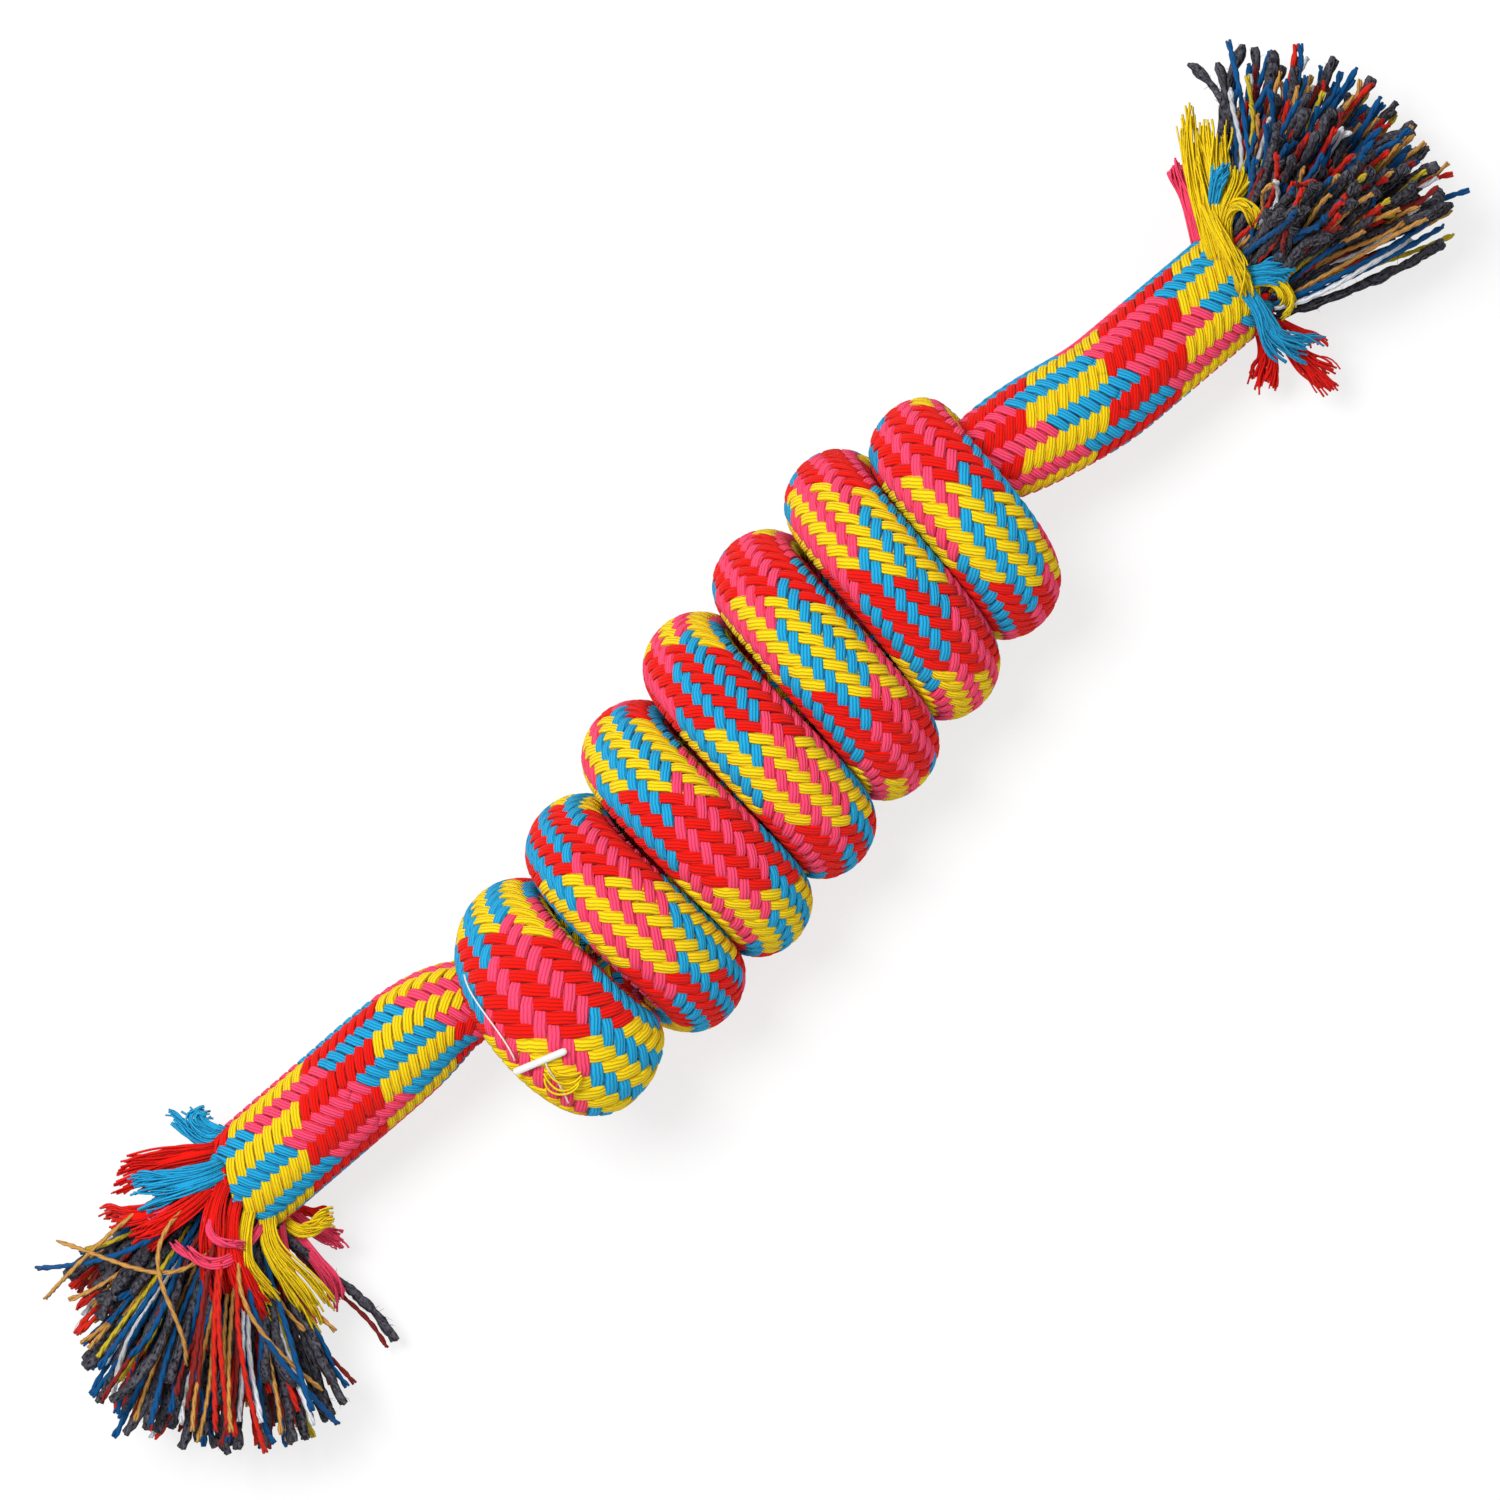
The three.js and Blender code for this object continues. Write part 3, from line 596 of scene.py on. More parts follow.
thread_clear = plastic("tag_thread", "#F2EFEA", roughness=0.4, transmission=0.25)
bar_white = plastic("tag_plastic", "#F4F4F2", roughness=0.35, transmission=0.15)
bar_ends = on_wrap(PIN_BAR_ENDS, PIN_BAR_RADIUS + PIN_BAR_LIFT)
bar_places = np.linspace(0, 1, PIN_BAR_RINGS)
bar_line = mix(bar_ends[0], bar_ends[1], bar_places[:, None])
bar_area = np.clip(1 - np.abs(2 * bar_places - 1) ** PIN_BAR_SQUARENESS, PIN_BAR_END, 1)
bar_radius = PIN_BAR_RADIUS * np.sqrt(bar_area)
pin_piece("tag_pin_bar", bar_line[None], bar_radius[None], PIN_BAR_SIDES, bar_white)
thread_places = np.linspace(0, 1, PIN_THREAD_RINGS)
thread_lines = np.array([
    curve_through(on_wrap(PIN_THREAD, PIN_THREAD_LIFT), thread_places),
    curve_through(on_wrap(PIN_FILAMENT, PIN_FILAMENT_LIFT), thread_places)])
thread_radius = np.full(thread_lines.shape[:2], PIN_THREAD_RADIUS)
pin_piece("tag_pin_thread", thread_lines, thread_radius, PIN_THREAD_SIDES, thread_clear)
loop_places = np.linspace(0, 1, PULLED_RINGS)
loop_lines = np.array([curve_through(on_wrap(loop, PULLED_LIFT), loop_places) for loop in PULLED_LOOPS])
loop_lines[..., 2] += PULLED_LIFT * np.sin(math.pi * loop_places)
loop_radius = np.full(loop_lines.shape[:2], PULLED_RADIUS)
pin_piece("tag_pin_pulled", loop_lines, loop_radius, PULLED_SIDES, COTTONS["yellow"])

# The tails: the same cotton braid and core, from inside the coil's mouths to the cut ends.
# Rope has no hinge, so each tail is bent in two halves: a stub from the knot to the bend, and the rest
# from the bend to the tail's end. The wraps grip the stubs.
ROPE_RADIUS = 9.5
EXIT_HANDLE = 7.0
LEFT_MOUTH = np.array([-69.4, 13.6, 23.0])
LEFT_PIVOT = np.array([-86.4, 16.6, 20.5])
LEFT_END = np.array([-112.4, 21.3, 17.0])
RIGHT_MOUTH = np.array([63.6, -0.4, 25.0])
RIGHT_PIVOT = np.array([81.6, -7.4, 21.5])
RIGHT_END = np.array([111.4, -13.0, 16.5])
EXIT_STEPS = 24
STUB_STEPS = 17
TAIL_STEPS = 27
SWELL_STEPS = 33
# Stations of the run inside the knot with which each tail's path begins
ROOT_STATIONS = 30
TAIL_LAY = 33.0
BEND_REACH = 12.0
# Where the braid of each stub starts on its path, and the warm and cool turns at the path's beginning
LEFT_INNER = 75.0
RIGHT_INNER = 36.0
LEFT_TURNS = (0.775, 0.83)
RIGHT_TURNS = (0.92, 0.59)


def tail_stations(run, mouth, pivot, end):
    """The tail: a Bezier curve from the run out of the coil's mouth, then straight to pivot and end,
    while the rope swells smoothly from the pressed run to its free roundness."""
    last = run[-1]
    onward = (pivot - mouth) / np.linalg.norm(pivot - mouth)
    t = np.linspace(0, 1, EXIT_STEPS + 1)[1:, None]
    first_handle = last[:3] + np.array([np.sign(pivot[0]) * EXIT_HANDLE, 0, 0])
    curve = last[:3] * (1 - t)**3 + 3 * first_handle * t * (1 - t)**2
    curve = curve + 3 * (mouth - onward * EXIT_HANDLE) * t**2 * (1 - t) + mouth * t**3
    to_pivot = mix(mouth, pivot, np.linspace(0, 1, STUB_STEPS + 1)[1:, None])
    to_end = mix(pivot, end, np.linspace(0, 1, TAIL_STEPS + 1)[1:, None])
    line = np.concatenate([curve, to_pivot, to_end])
    share = smooth(np.linspace(0, 1, SWELL_STEPS + 1)[1:])
    share = np.concatenate([share, np.ones(len(line) - len(share))])
    thickness = mix(RUN_HALF_THICKNESS, ROPE_RADIUS, share)
    width = mix(RUN_HALF_WIDTH, ROPE_RADIUS, share)
    return np.column_stack([line, np.full(len(line), last[3]), thickness, width])


def bend_pieces(side, path, pivot_s, inner_s, end_s, first_turns):
    """Both halves of a tail: the stub from the knot to the bend, the rest on to the tail's end.
    Both sets of carriers turn on evenly by the lay."""
    warm_turns = first_turns[0] + path["s"] / TAIL_LAY
    cool_turns = first_turns[1] + path["s"] / TAIL_LAY
    inward = math.copysign(1, inner_s - pivot_s)
    before = metres(read(path, "centre", pivot_s + inward * BEND_REACH))
    pivot = metres(read(path, "centre", pivot_s))
    after = metres(read(path, "centre", pivot_s - inward * BEND_REACH))
    rope_pieces(
        f"{side}_stub", path, sorted((pivot_s, inner_s)), warm_turns, cool_turns,
        lambda piece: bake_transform(piece),
        ["knot_jacket"], [f"{side}_rope_bend"])
    rope_pieces(
        f"{side}_tail", path, sorted((pivot_s, end_s)), warm_turns, cool_turns,
        lambda piece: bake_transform(piece),
        [f"{side}_tail_jacket"], [f"{side}_tail_core"])


left_rows = np.concatenate([
    run_to_left[-ROOT_STATIONS:], tail_stations(run_to_left, LEFT_MOUTH, LEFT_PIVOT, LEFT_END)])
left_path = rope_path(left_rows[::-1], 0)
left_pivot_s = np.linalg.norm(LEFT_PIVOT - LEFT_END)
right_rows = np.concatenate([
    run_to_right[-ROOT_STATIONS:], tail_stations(run_to_right, RIGHT_MOUTH, RIGHT_PIVOT, RIGHT_END)])
right_path = rope_path(right_rows, 0)
right_end_s = right_path["s"][-1]
right_pivot_s = right_end_s - np.linalg.norm(RIGHT_PIVOT - RIGHT_END)
bend_pieces("left", left_path, left_pivot_s, LEFT_INNER, 0.0, LEFT_TURNS)
bend_pieces("right", right_path, right_pivot_s, RIGHT_INNER, right_end_s, RIGHT_TURNS)

# The brushes: 290 and 410 waste yarns of the core, loosened where the rope was cut, thick charcoal wool
# among thin coloured cotton. Each yarn is two twisted plies, held only by the jacket round it.
YARN_RINGS = 36
YARN_SIDES = 5
YARN_PLIES = 2
# Radii of the yarn, and millimetres more, in one turn of its plies
TWIST_RADII = 9
TWIST_LENGTH = 1.5
# The plies are as thick as fits their standing off, splay at the tip, and thin at its very end
PLY_FULLNESS = 1.1
TIP_SPLAY = 0.3
SPLAY_FROM = 0.9
SPLAY_LENGTH = 0.1
TIP_THINNING = 0.3
THIN_FROM = 0.97
THIN_LENGTH = 0.03
# Carded wool is dull and hairy, grey on its lumps and nearly black between them. Thin cotton yarn is matt.
WOOL = {
    "plies": YARN_PLIES, "roughness": 0.95, "streaks": 3.2, "grain": (5.0, 1.4), "dark": 1.75, "bright": 3.1,
}
THIN_COTTON = {"plies": YARN_PLIES, "roughness": 0.9}
# Share of the yarns, radius, how far the plies stand off the middle, lumpiness and material of each colour
# Each material has a lit and a shaded colour, mixed as painted light and shade
YARNS = {
    "charcoal": (0.27, 0.82, 0.24, 0.42, cotton("wool_charcoal", "#6C6A76", "#060609", **WOOL)),
    "tan": (0.12, 0.40, 0.36, 0.12, cotton("yarn_tan", "#CC964C", "#7C501E", **THIN_COTTON)),
    "royal": (0.23, 0.50, 0.34, 0.14, cotton("yarn_royal", "#07528C", "#032848", **THIN_COTTON)),
    "scarlet": (0.14, 0.48, 0.34, 0.12, cotton("yarn_scarlet", "#D8281A", "#8C120C", **THIN_COTTON)),
    "maroon": (0.10, 0.43, 0.36, 0.12, cotton("yarn_maroon", "#8A2420", "#4C100E", **THIN_COTTON)),
    "white": (0.07, 0.45, 0.30, 0.14, cotton("yarn_white", "#DCE0E6", "#8C949C", **THIN_COTTON)),
    "mustard": (0.05, 0.43, 0.34, 0.12, cotton("yarn_mustard", "#CDB62C", "#8A7414", **THIN_COTTON)),
}
# Headings are degrees from +X, and tilts degrees from level, as a middle and a half spread. Yarns that head
# outside low and high are cut shorter by a share, and all are uneven by a share of their length
LEFT_FAN = {
    "count": 290, "heading": 200.5, "half_width": 50, "tilt": 3, "half_height": 26,
    "length": 43.5, "unevenness": 0.34, "droop": 2.5,
    "low": 192, "low_cut": 0.28, "high": 240, "high_cut": 0.12,
}
RIGHT_FAN = {
    "count": 410, "heading": 2, "half_width": 42, "tilt": 27, "half_height": 50,
    "length": 38.0, "unevenness": 0.38, "droop": 2.0,
    "low": -60, "low_cut": 0.0, "high": 45, "high_cut": 0.08,
}
LOW_FADE = 28
HIGH_FADE = 15
SHORTNESS_POWER = 1.5
FAN_DISORDER = 8.0
EDGE_ORDER = 0.5
# Where the yarns start inside the cut and fan out past it, and how hard the curve is pulled at both ends
ROOT_DEPTH = 4
ROOT_RADIUS = 7.2
FAN_OFFSET = 2.5
ROOT_PULL = 22
TIP_PULL = 30
# Least and most radians of a yarn's wave, and millimetres of its reach
WAVE_TURN = (3, 10)
WAVE_REACH = (0.4, 1.9)
# Radii of the yarn between its middle and the floor, at least
FLOOR_RADII = 1.3
# The wool's fuzz is drawn about three times as thick as real fibres, because finer ones don't show
FUZZ_COUNT = 8000
FUZZ_RADIUS = 0.04
FUZZ_LENGTH = 0.6
FUZZ_SHARES = (0.5, 1.3)
FUZZ_CURL = 0.6
FUZZ_ROOT = 0.5
FUZZ_FIRST_RING = 3
FUZZ_TAPER = np.array([1, 1, 0.8, 0.4])
FUZZ_SIDES = 3
LEFT_BRUSH_SEED = 11
RIGHT_BRUSH_SEED = 23
# Colour and course of the yarns that stray from the fans
LEFT_STRAYS = [
    ("charcoal", [(-112.0, 17.0, 20.0), (-114.6, 3.0, 13.0), (-115.0, -6.0, 8.0), (-117.4, -15.5, 5.0)]),
    ("maroon", [(-113.0, 17.0, 19.0), (-116.2, 1.0, 11.0), (-117.0, -7.5, 7.0), (-119.2, -15.2, 4.0)]),
    ("tan", [(-114.0, 20.0, 19.0), (-126.0, 19.0, 32.0), (-132.0, 26.0, 33.0), (-138.0, 39.0, 22.0)]),
    ("tan", [(-114.0, 26.0, 17.0), (-123.0, 31.0, 25.0), (-136.0, 33.5, 27.0), (-147.9, 34.8, 14.0)]),
    ("tan", [(-113.0, 24.0, 25.0), (-126.7, 24.8, 34.0), (-133.0, 17.0, 35.0), (-139.5, 9.2, 30.0)]),
    ("tan", [(-113.0, 16.0, 18.0), (-122.0, 12.0, 31.0), (-127.0, 3.0, 32.0), (-129.2, -10.9, 24.0)]),
    ("royal", [(-114.0, 24.0, 17.0), (-124.0, 26.0, 28.0), (-133.0, 30.0, 30.0), (-144.8, 39.1, 14.0)]),
    ("royal", [(-113.0, 15.0, 18.0), (-124.0, 8.0, 30.0), (-129.0, -3.0, 30.0), (-132.5, -16.6, 20.0)]),
    ("scarlet", [(-113.0, 20.5, 24.0), (-123.5, 15.2, 31.0), (-135.0, 6.5, 33.0), (-145.0, -1.5, 29.0)]),
    ("scarlet", [(-113.0, 19.5, 24.0), (-124.5, 14.0, 31.5), (-135.0, 4.9, 33.0), (-144.4, -3.4, 28.0)]),
    ("scarlet", [(-113.0, 18.0, 24.0), (-125.0, 10.0, 30.0), (-134.5, 0.5, 31.0), (-143.0, -10.2, 26.0)]),
    ("maroon", [(-113.0, 21.0, 24.0), (-124.0, 16.5, 31.0), (-136.0, 8.6, 33.0), (-147.0, 1.6, 28.0)]),
    ("maroon", [(-113.0, 21.2, 24.0), (-123.0, 17.2, 31.0), (-134.0, 10.6, 33.5), (-145.0, 4.6, 30.0)]),
]
RIGHT_STRAYS = [
    ("charcoal", [(113.0, -14.0, 20.0), (124.0, -3.0, 27.0), (131.0, 5.5, 26.0), (134.2, 15.7, 19.0)]),
    ("royal", [(113.0, -14.0, 24.0), (122.0, -6.0, 32.0), (131.0, 3.0, 33.0), (140.0, 13.2, 28.0)]),
    ("mustard", [(113.0, -16.0, 16.0), (122.0, -25.0, 16.0), (132.0, -32.0, 14.0), (141.0, -36.8, 10.0)]),
    ("charcoal", [(111.0, -22.0, 18.0), (120.0, -28.0, 20.0), (130.0, -33.0, 18.0), (138.5, -36.2, 13.0)]),
    ("white", [(111.0, -21.0, 22.0), (118.0, -25.5, 27.0), (126.0, -28.5, 27.0), (134.3, -31.5, 22.0)]),
    ("royal", [(111.0, -21.0, 20.0), (121.0, -26.5, 25.0), (131.0, -31.0, 24.0), (140.0, -34.3, 18.0)]),
    ("royal", [(111.0, -20.0, 21.0), (121.0, -25.5, 26.0), (131.0, -29.5, 26.0), (141.0, -32.6, 20.0)]),
]


def twisted(lines, radius, stand_off, lumps, rng):
    """Two plies wound round each line, half a turn apart, at a pitch of some radii and a little more.
    They are uneven by lumps, which are averaged over three rings."""
    count, rings = lines.shape[:2]
    steps = np.linalg.norm(np.diff(lines, axis=1), axis=-1)
    travelled = np.concatenate([np.zeros((count, 1)), np.cumsum(steps, axis=1)], 1)
    share = np.linspace(0, 1, rings)
    splay = stand_off + TIP_SPLAY * smooth((share - SPLAY_FROM) / SPLAY_LENGTH)
    thinning = 1 - TIP_THINNING * smooth((share - THIN_FROM) / THIN_LENGTH)
    side, up = sides_of(lines, UPRIGHT)
    start = rng.uniform(0, TAU, (count, 1))
    tubes = []
    for ply in range(YARN_PLIES):
        turn = start + TAU * (travelled / (TWIST_RADII * radius + TWIST_LENGTH) + ply / YARN_PLIES)
        offset = side * np.cos(turn)[..., None] + up * np.sin(turn)[..., None]
        uneven = rng.normal(0, 1, (count, rings + 2))
        uneven = (uneven[:, :-2] + uneven[:, 1:-1] + uneven[:, 2:]) / 3
        thick = radius * (PLY_FULLNESS - stand_off) * (1 + lumps * uneven) * thinning
        tubes.append(rings_along(lines + offset * radius * splay[None, :, None], thick, YARN_SIDES))
    return np.concatenate(tubes)


def brush_lines(end, pivot, fan, rng):
    """Middle lines of a brush's yarns: Hermite curves from a disc inside the cut to a fan of tips.
    The yarns are spread over both by the golden angle, and wave a little more towards their tips."""
    axis = (end - pivot) / np.linalg.norm(end - pivot)
    side = np.cross(np.array([0, 0, 1.0]), axis)
    side /= np.linalg.norm(side)
    up = np.cross(axis, side)
    count = fan["count"]
    number = np.arange(count)
    spread = np.sqrt((number + 0.5) / count)
    golden = number * math.pi * (3 - math.sqrt(5))
    disorder = FAN_DISORDER * (1 - EDGE_ORDER * spread)
    aside = fan["half_width"] * spread * np.cos(golden)
    turned = fan["heading"] + aside + disorder * rng.normal(0, 1, count)
    turn = np.radians(turned)
    above = fan["half_height"] * spread * np.sin(golden)
    rise = np.radians(fan["tilt"] + above + disorder * rng.normal(0, 1, count))
    heading_to = np.stack([np.cos(turn) * np.cos(rise), np.sin(turn) * np.cos(rise), np.sin(rise)], -1)
    cut = 1 - fan["low_cut"] * smooth((fan["low"] - turned) / LOW_FADE)
    cut = cut - fan["high_cut"] * smooth((turned - fan["high"]) / HIGH_FADE)
    shortness = fan["unevenness"] * rng.random(count) ** SHORTNESS_POWER
    reach = (fan["length"] * cut * (1 - shortness))[:, None]
    around = side * np.cos(golden)[:, None] + up * np.sin(golden)[:, None]
    root = end - axis * ROOT_DEPTH + ROOT_RADIUS * spread[:, None] * around
    tip = end + axis * FAN_OFFSET + heading_to * reach
    tip[:, 2] -= fan["droop"]
    t = np.linspace(0, 1, YARN_RINGS)[None, :, None]
    lines = root[:, None] * (2 * t**3 - 3 * t**2 + 1) + tip[:, None] * (3 * t**2 - 2 * t**3)
    lines = lines + axis * ROOT_PULL * (t**3 - 2 * t**2 + t)
    lines = lines + heading_to[:, None] * TIP_PULL * (t**3 - t**2)
    phase = rng.uniform(0, TAU, (count, 1, 3))
    sway = np.sin(phase + t * rng.uniform(*WAVE_TURN, (count, 1, 3)))
    return lines + sway * rng.uniform(*WAVE_REACH, (count, 1, 1)) * t


def fuzz(lines, radius, rng):
    """Short fibres that stand off the lines: each starts inside a yarn, leaves it sideways and curls along
    it by the square of the share."""
    chosen = rng.integers(0, len(lines), FUZZ_COUNT)
    ring = rng.integers(FUZZ_FIRST_RING, lines.shape[1] - 1, FUZZ_COUNT)
    start = lines[chosen, ring]
    along = lines[chosen, ring + 1] - lines[chosen, ring - 1]
    along /= np.linalg.norm(along, axis=-1, keepdims=True)
    away = np.cross(along, rng.normal(0, 1, (FUZZ_COUNT, 3)))
    away /= np.linalg.norm(away, axis=-1, keepdims=True)
    length = FUZZ_LENGTH * rng.uniform(*FUZZ_SHARES, (FUZZ_COUNT, 1, 1))
    t = np.linspace(0, 1, len(FUZZ_TAPER))[None, :, None]
    curl = rng.normal(0, FUZZ_CURL, (FUZZ_COUNT, 1, 3))
    hairs = start[:, None] + away[:, None] * (FUZZ_ROOT * radius + length * t)
    hairs = hairs + (along[:, None] + curl) * length * t**2
    hairs[..., 2] = np.maximum(hairs[..., 2], 2 * FUZZ_RADIUS)
    return rings_along(hairs, np.full((FUZZ_COUNT, 1), FUZZ_RADIUS) * FUZZ_TAPER, FUZZ_SIDES)


def brush_pieces(side, end, pivot, fan, strays, seed):
    """All the yarns of one brush, a piece for each colour, and the fuzz of its wool. The colours are dealt
    out at random, in their shares."""
    rng = np.random.default_rng(seed)
    lines = brush_lines(end, pivot, fan, rng)
    shares = np.cumsum([row[0] for row in YARNS.values()])
    dealt = np.searchsorted(shares / shares[-1], rng.permutation(len(lines)) / len(lines), side="right")
    t = np.linspace(0, 1, YARN_RINGS)
    for index, (colour, (_, radius, stand_off, lumps, material)) in enumerate(YARNS.items()):
        own = lines[dealt == index]
        extra = [curve_through(points, t) for stray, points in strays if stray == colour]
        own = np.concatenate([own, np.array(extra)]) if extra else own
        own[..., 2] = np.maximum(own[..., 2], FLOOR_RADII * radius)
        tubes = [(colour, twisted(own, radius, stand_off, lumps, rng))]
        if colour == "charcoal":
            tubes.append(("fuzz", fuzz(own, radius, rng)))
        for label, points in tubes:
            strand = across_tube(points, rng.random(len(points)))
            piece = tube_piece(f"{side}_brush_{label}", points, material, strand)
            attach(piece, f"{side}_tail")
            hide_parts(f"{side}_brush")


brush_pieces("left", LEFT_END, LEFT_PIVOT, LEFT_FAN, LEFT_STRAYS, LEFT_BRUSH_SEED)
brush_pieces("right", RIGHT_END, RIGHT_PIVOT, RIGHT_FAN, RIGHT_STRAYS, RIGHT_BRUSH_SEED)

# The tassels: cut ends of the jacket's strands, in the same cotton. Each is a bundle of loose plies that
# flares from the cut or folds back round it, and is held by the braid behind it.
PLY_RADIUS = 0.2
PLY_RINGS = 16
PLY_SIDES = 5
PLY_ACROSS = 0.45
PLY_WAVES = 1.3
PLY_WAVER = 0.55
PLY_UNEVENNESS = 0.15
PLY_SHORTNESS = 0.12
PLY_PARTING = 0.25
PLIES_A_CLUMP = 7
CLUMP_SHORTNESS = 0.22
CLUMP_GATHERING = 0.45
CLUMP_PARTING = 0.45
CLUMP_LIFT = 0.8
TASSEL_BREADTH = 1.2
TASSEL_FLATNESS = 0.42
TASSEL_UPRIGHT = np.array([0.05, 0.08, 0.99])
# The part of a strand that is still whole inside the tassel: its length, breadth, thinning and flatness
WHOLE = 0.6
WHOLE_BREADTH = 0.85
WHOLE_THINNING = 0.7
WHOLE_FLATNESS = 0.8
LEFT_TASSEL_SEED = 31
RIGHT_TASSEL_SEED = 47
# The CAD tassel, colour, plies, half width at root and tip, and four points that each bundle follows
LEFT_TASSELS = [
    ("08", "blue", 41, 1.2, 2.3,
     [(-106.2, 28.9, 18.6), (-109.3, 30.7, 20.0), (-109.8, 34.7, 17.0), (-110.2, 38.8, 16.0)]),
    ("08", "blue", 22, 0.9, 1.5,
     [(-106.5, 28.6, 19.8), (-107.8, 31.5, 20.0), (-107.8, 34.2, 19.0), (-104.8, 32.2, 18.0)]),
    ("07", "red", 64, 1.5, 2.7,
     [(-109.9, 28.1, 22.0), (-113.8, 31.5, 25.0), (-119.1, 35.4, 24.0), (-124.9, 38.4, 22.0)]),
    ("06", "blue", 64, 1.6, 2.8,
     [(-110.8, 25.1, 24.7), (-115.4, 28.0, 28.0), (-119.6, 31.2, 28.0), (-124.1, 34.1, 27.0)]),
    ("05", "red", 53, 1.2, 1.9,
     [(-113.6, 24.5, 25.2), (-120.7, 25.9, 30.0), (-125.7, 27.3, 30.0), (-130.4, 28.4, 28.0)]),
    ("05", "red", 34, 1.0, 1.6,
     [(-113.6, 24.8, 25.3), (-125.1, 30.6, 27.0), (-128.4, 33.9, 23.0), (-132.4, 35.6, 18.0)]),
    ("04", "pink", 15, 0.6, 0.7,
     [(-113.5, 23.5, 25.5), (-121.0, 27.3, 29.0), (-124.1, 28.0, 28.0), (-126.4, 29.5, 27.0)]),
    ("04", "pink", 22, 0.7, 0.8,
     [(-114.2, 14.2, 23.1), (-121.9, 15.1, 30.0), (-124.7, 19.3, 31.0), (-124.8, 24.8, 29.0)]),
    ("04", "pink", 19, 0.6, 0.7,
     [(-114.3, 23.5, 25.7), (-119.5, 20.3, 30.0), (-119.0, 16.3, 31.0), (-116.3, 13.6, 27.0)]),
    ("03", "red", 57, 1.3, 3.0,
     [(-112.2, 23.6, 25.2), (-119.0, 20.4, 29.0), (-123.6, 15.9, 28.0), (-128.4, 10.9, 23.0)]),
    ("03", "red", 45, 0.9, 1.8,
     [(-113.5, 20.0, 25.5), (-120.1, 14.9, 29.0), (-123.4, 8.9, 28.0), (-125.7, 4.3, 24.0)]),
    ("02", "yellow", 41, 0.9, 2.0,
     [(-113.2, 17.5, 24.5), (-120.0, 12.8, 28.0), (-122.6, 7.9, 26.0), (-125.8, 1.0, 21.0)]),
    ("02", "yellow", 57, 1.2, 2.6,
     [(-112.4, 14.8, 22.4), (-116.5, 9.1, 24.0), (-118.1, 2.3, 21.0), (-122.4, -7.2, 15.0)]),
    ("09", "pink", 38, 0.9, 1.6,
     [(-112.4, 12.8, 17.0), (-118.3, 6.0, 19.0), (-121.9, 0.3, 16.0), (-124.9, -4.8, 12.0)]),
    ("09", "pink", 30, 0.8, 1.3,
     [(-111.9, 12.9, 14.0), (-114.4, 2.5, 14.0), (-116.1, -2.1, 11.0), (-120.0, -7.5, 8.0)]),
    ("01", "yellow", 30, 0.8, 1.5,
     [(-111.9, 12.8, 16.0), (-111.4, 8.3, 17.0), (-108.8, 7.1, 17.0), (-106.2, 5.9, 16.0)]),
    ("11", "red", 22, 0.6, 1.2,
     [(-110.4, 12.8, 13.0), (-108.7, 9.3, 10.0), (-108.1, 7.6, 9.0), (-107.2, 6.2, 8.0)]),
    ("11", "pink", 30, 0.8, 1.8,
     [(-110.6, 12.8, 12.0), (-110.7, 6.7, 11.0), (-109.8, 3.6, 10.0), (-110.1, 0.6, 9.0)]),
    ("10", "yellow", 26, 0.8, 1.4,
     [(-111.5, 19.0, 9.0), (-115.5, 17.0, 6.5), (-118.5, 15.5, 4.5), (-121.0, 14.0, 3.0)]),
]
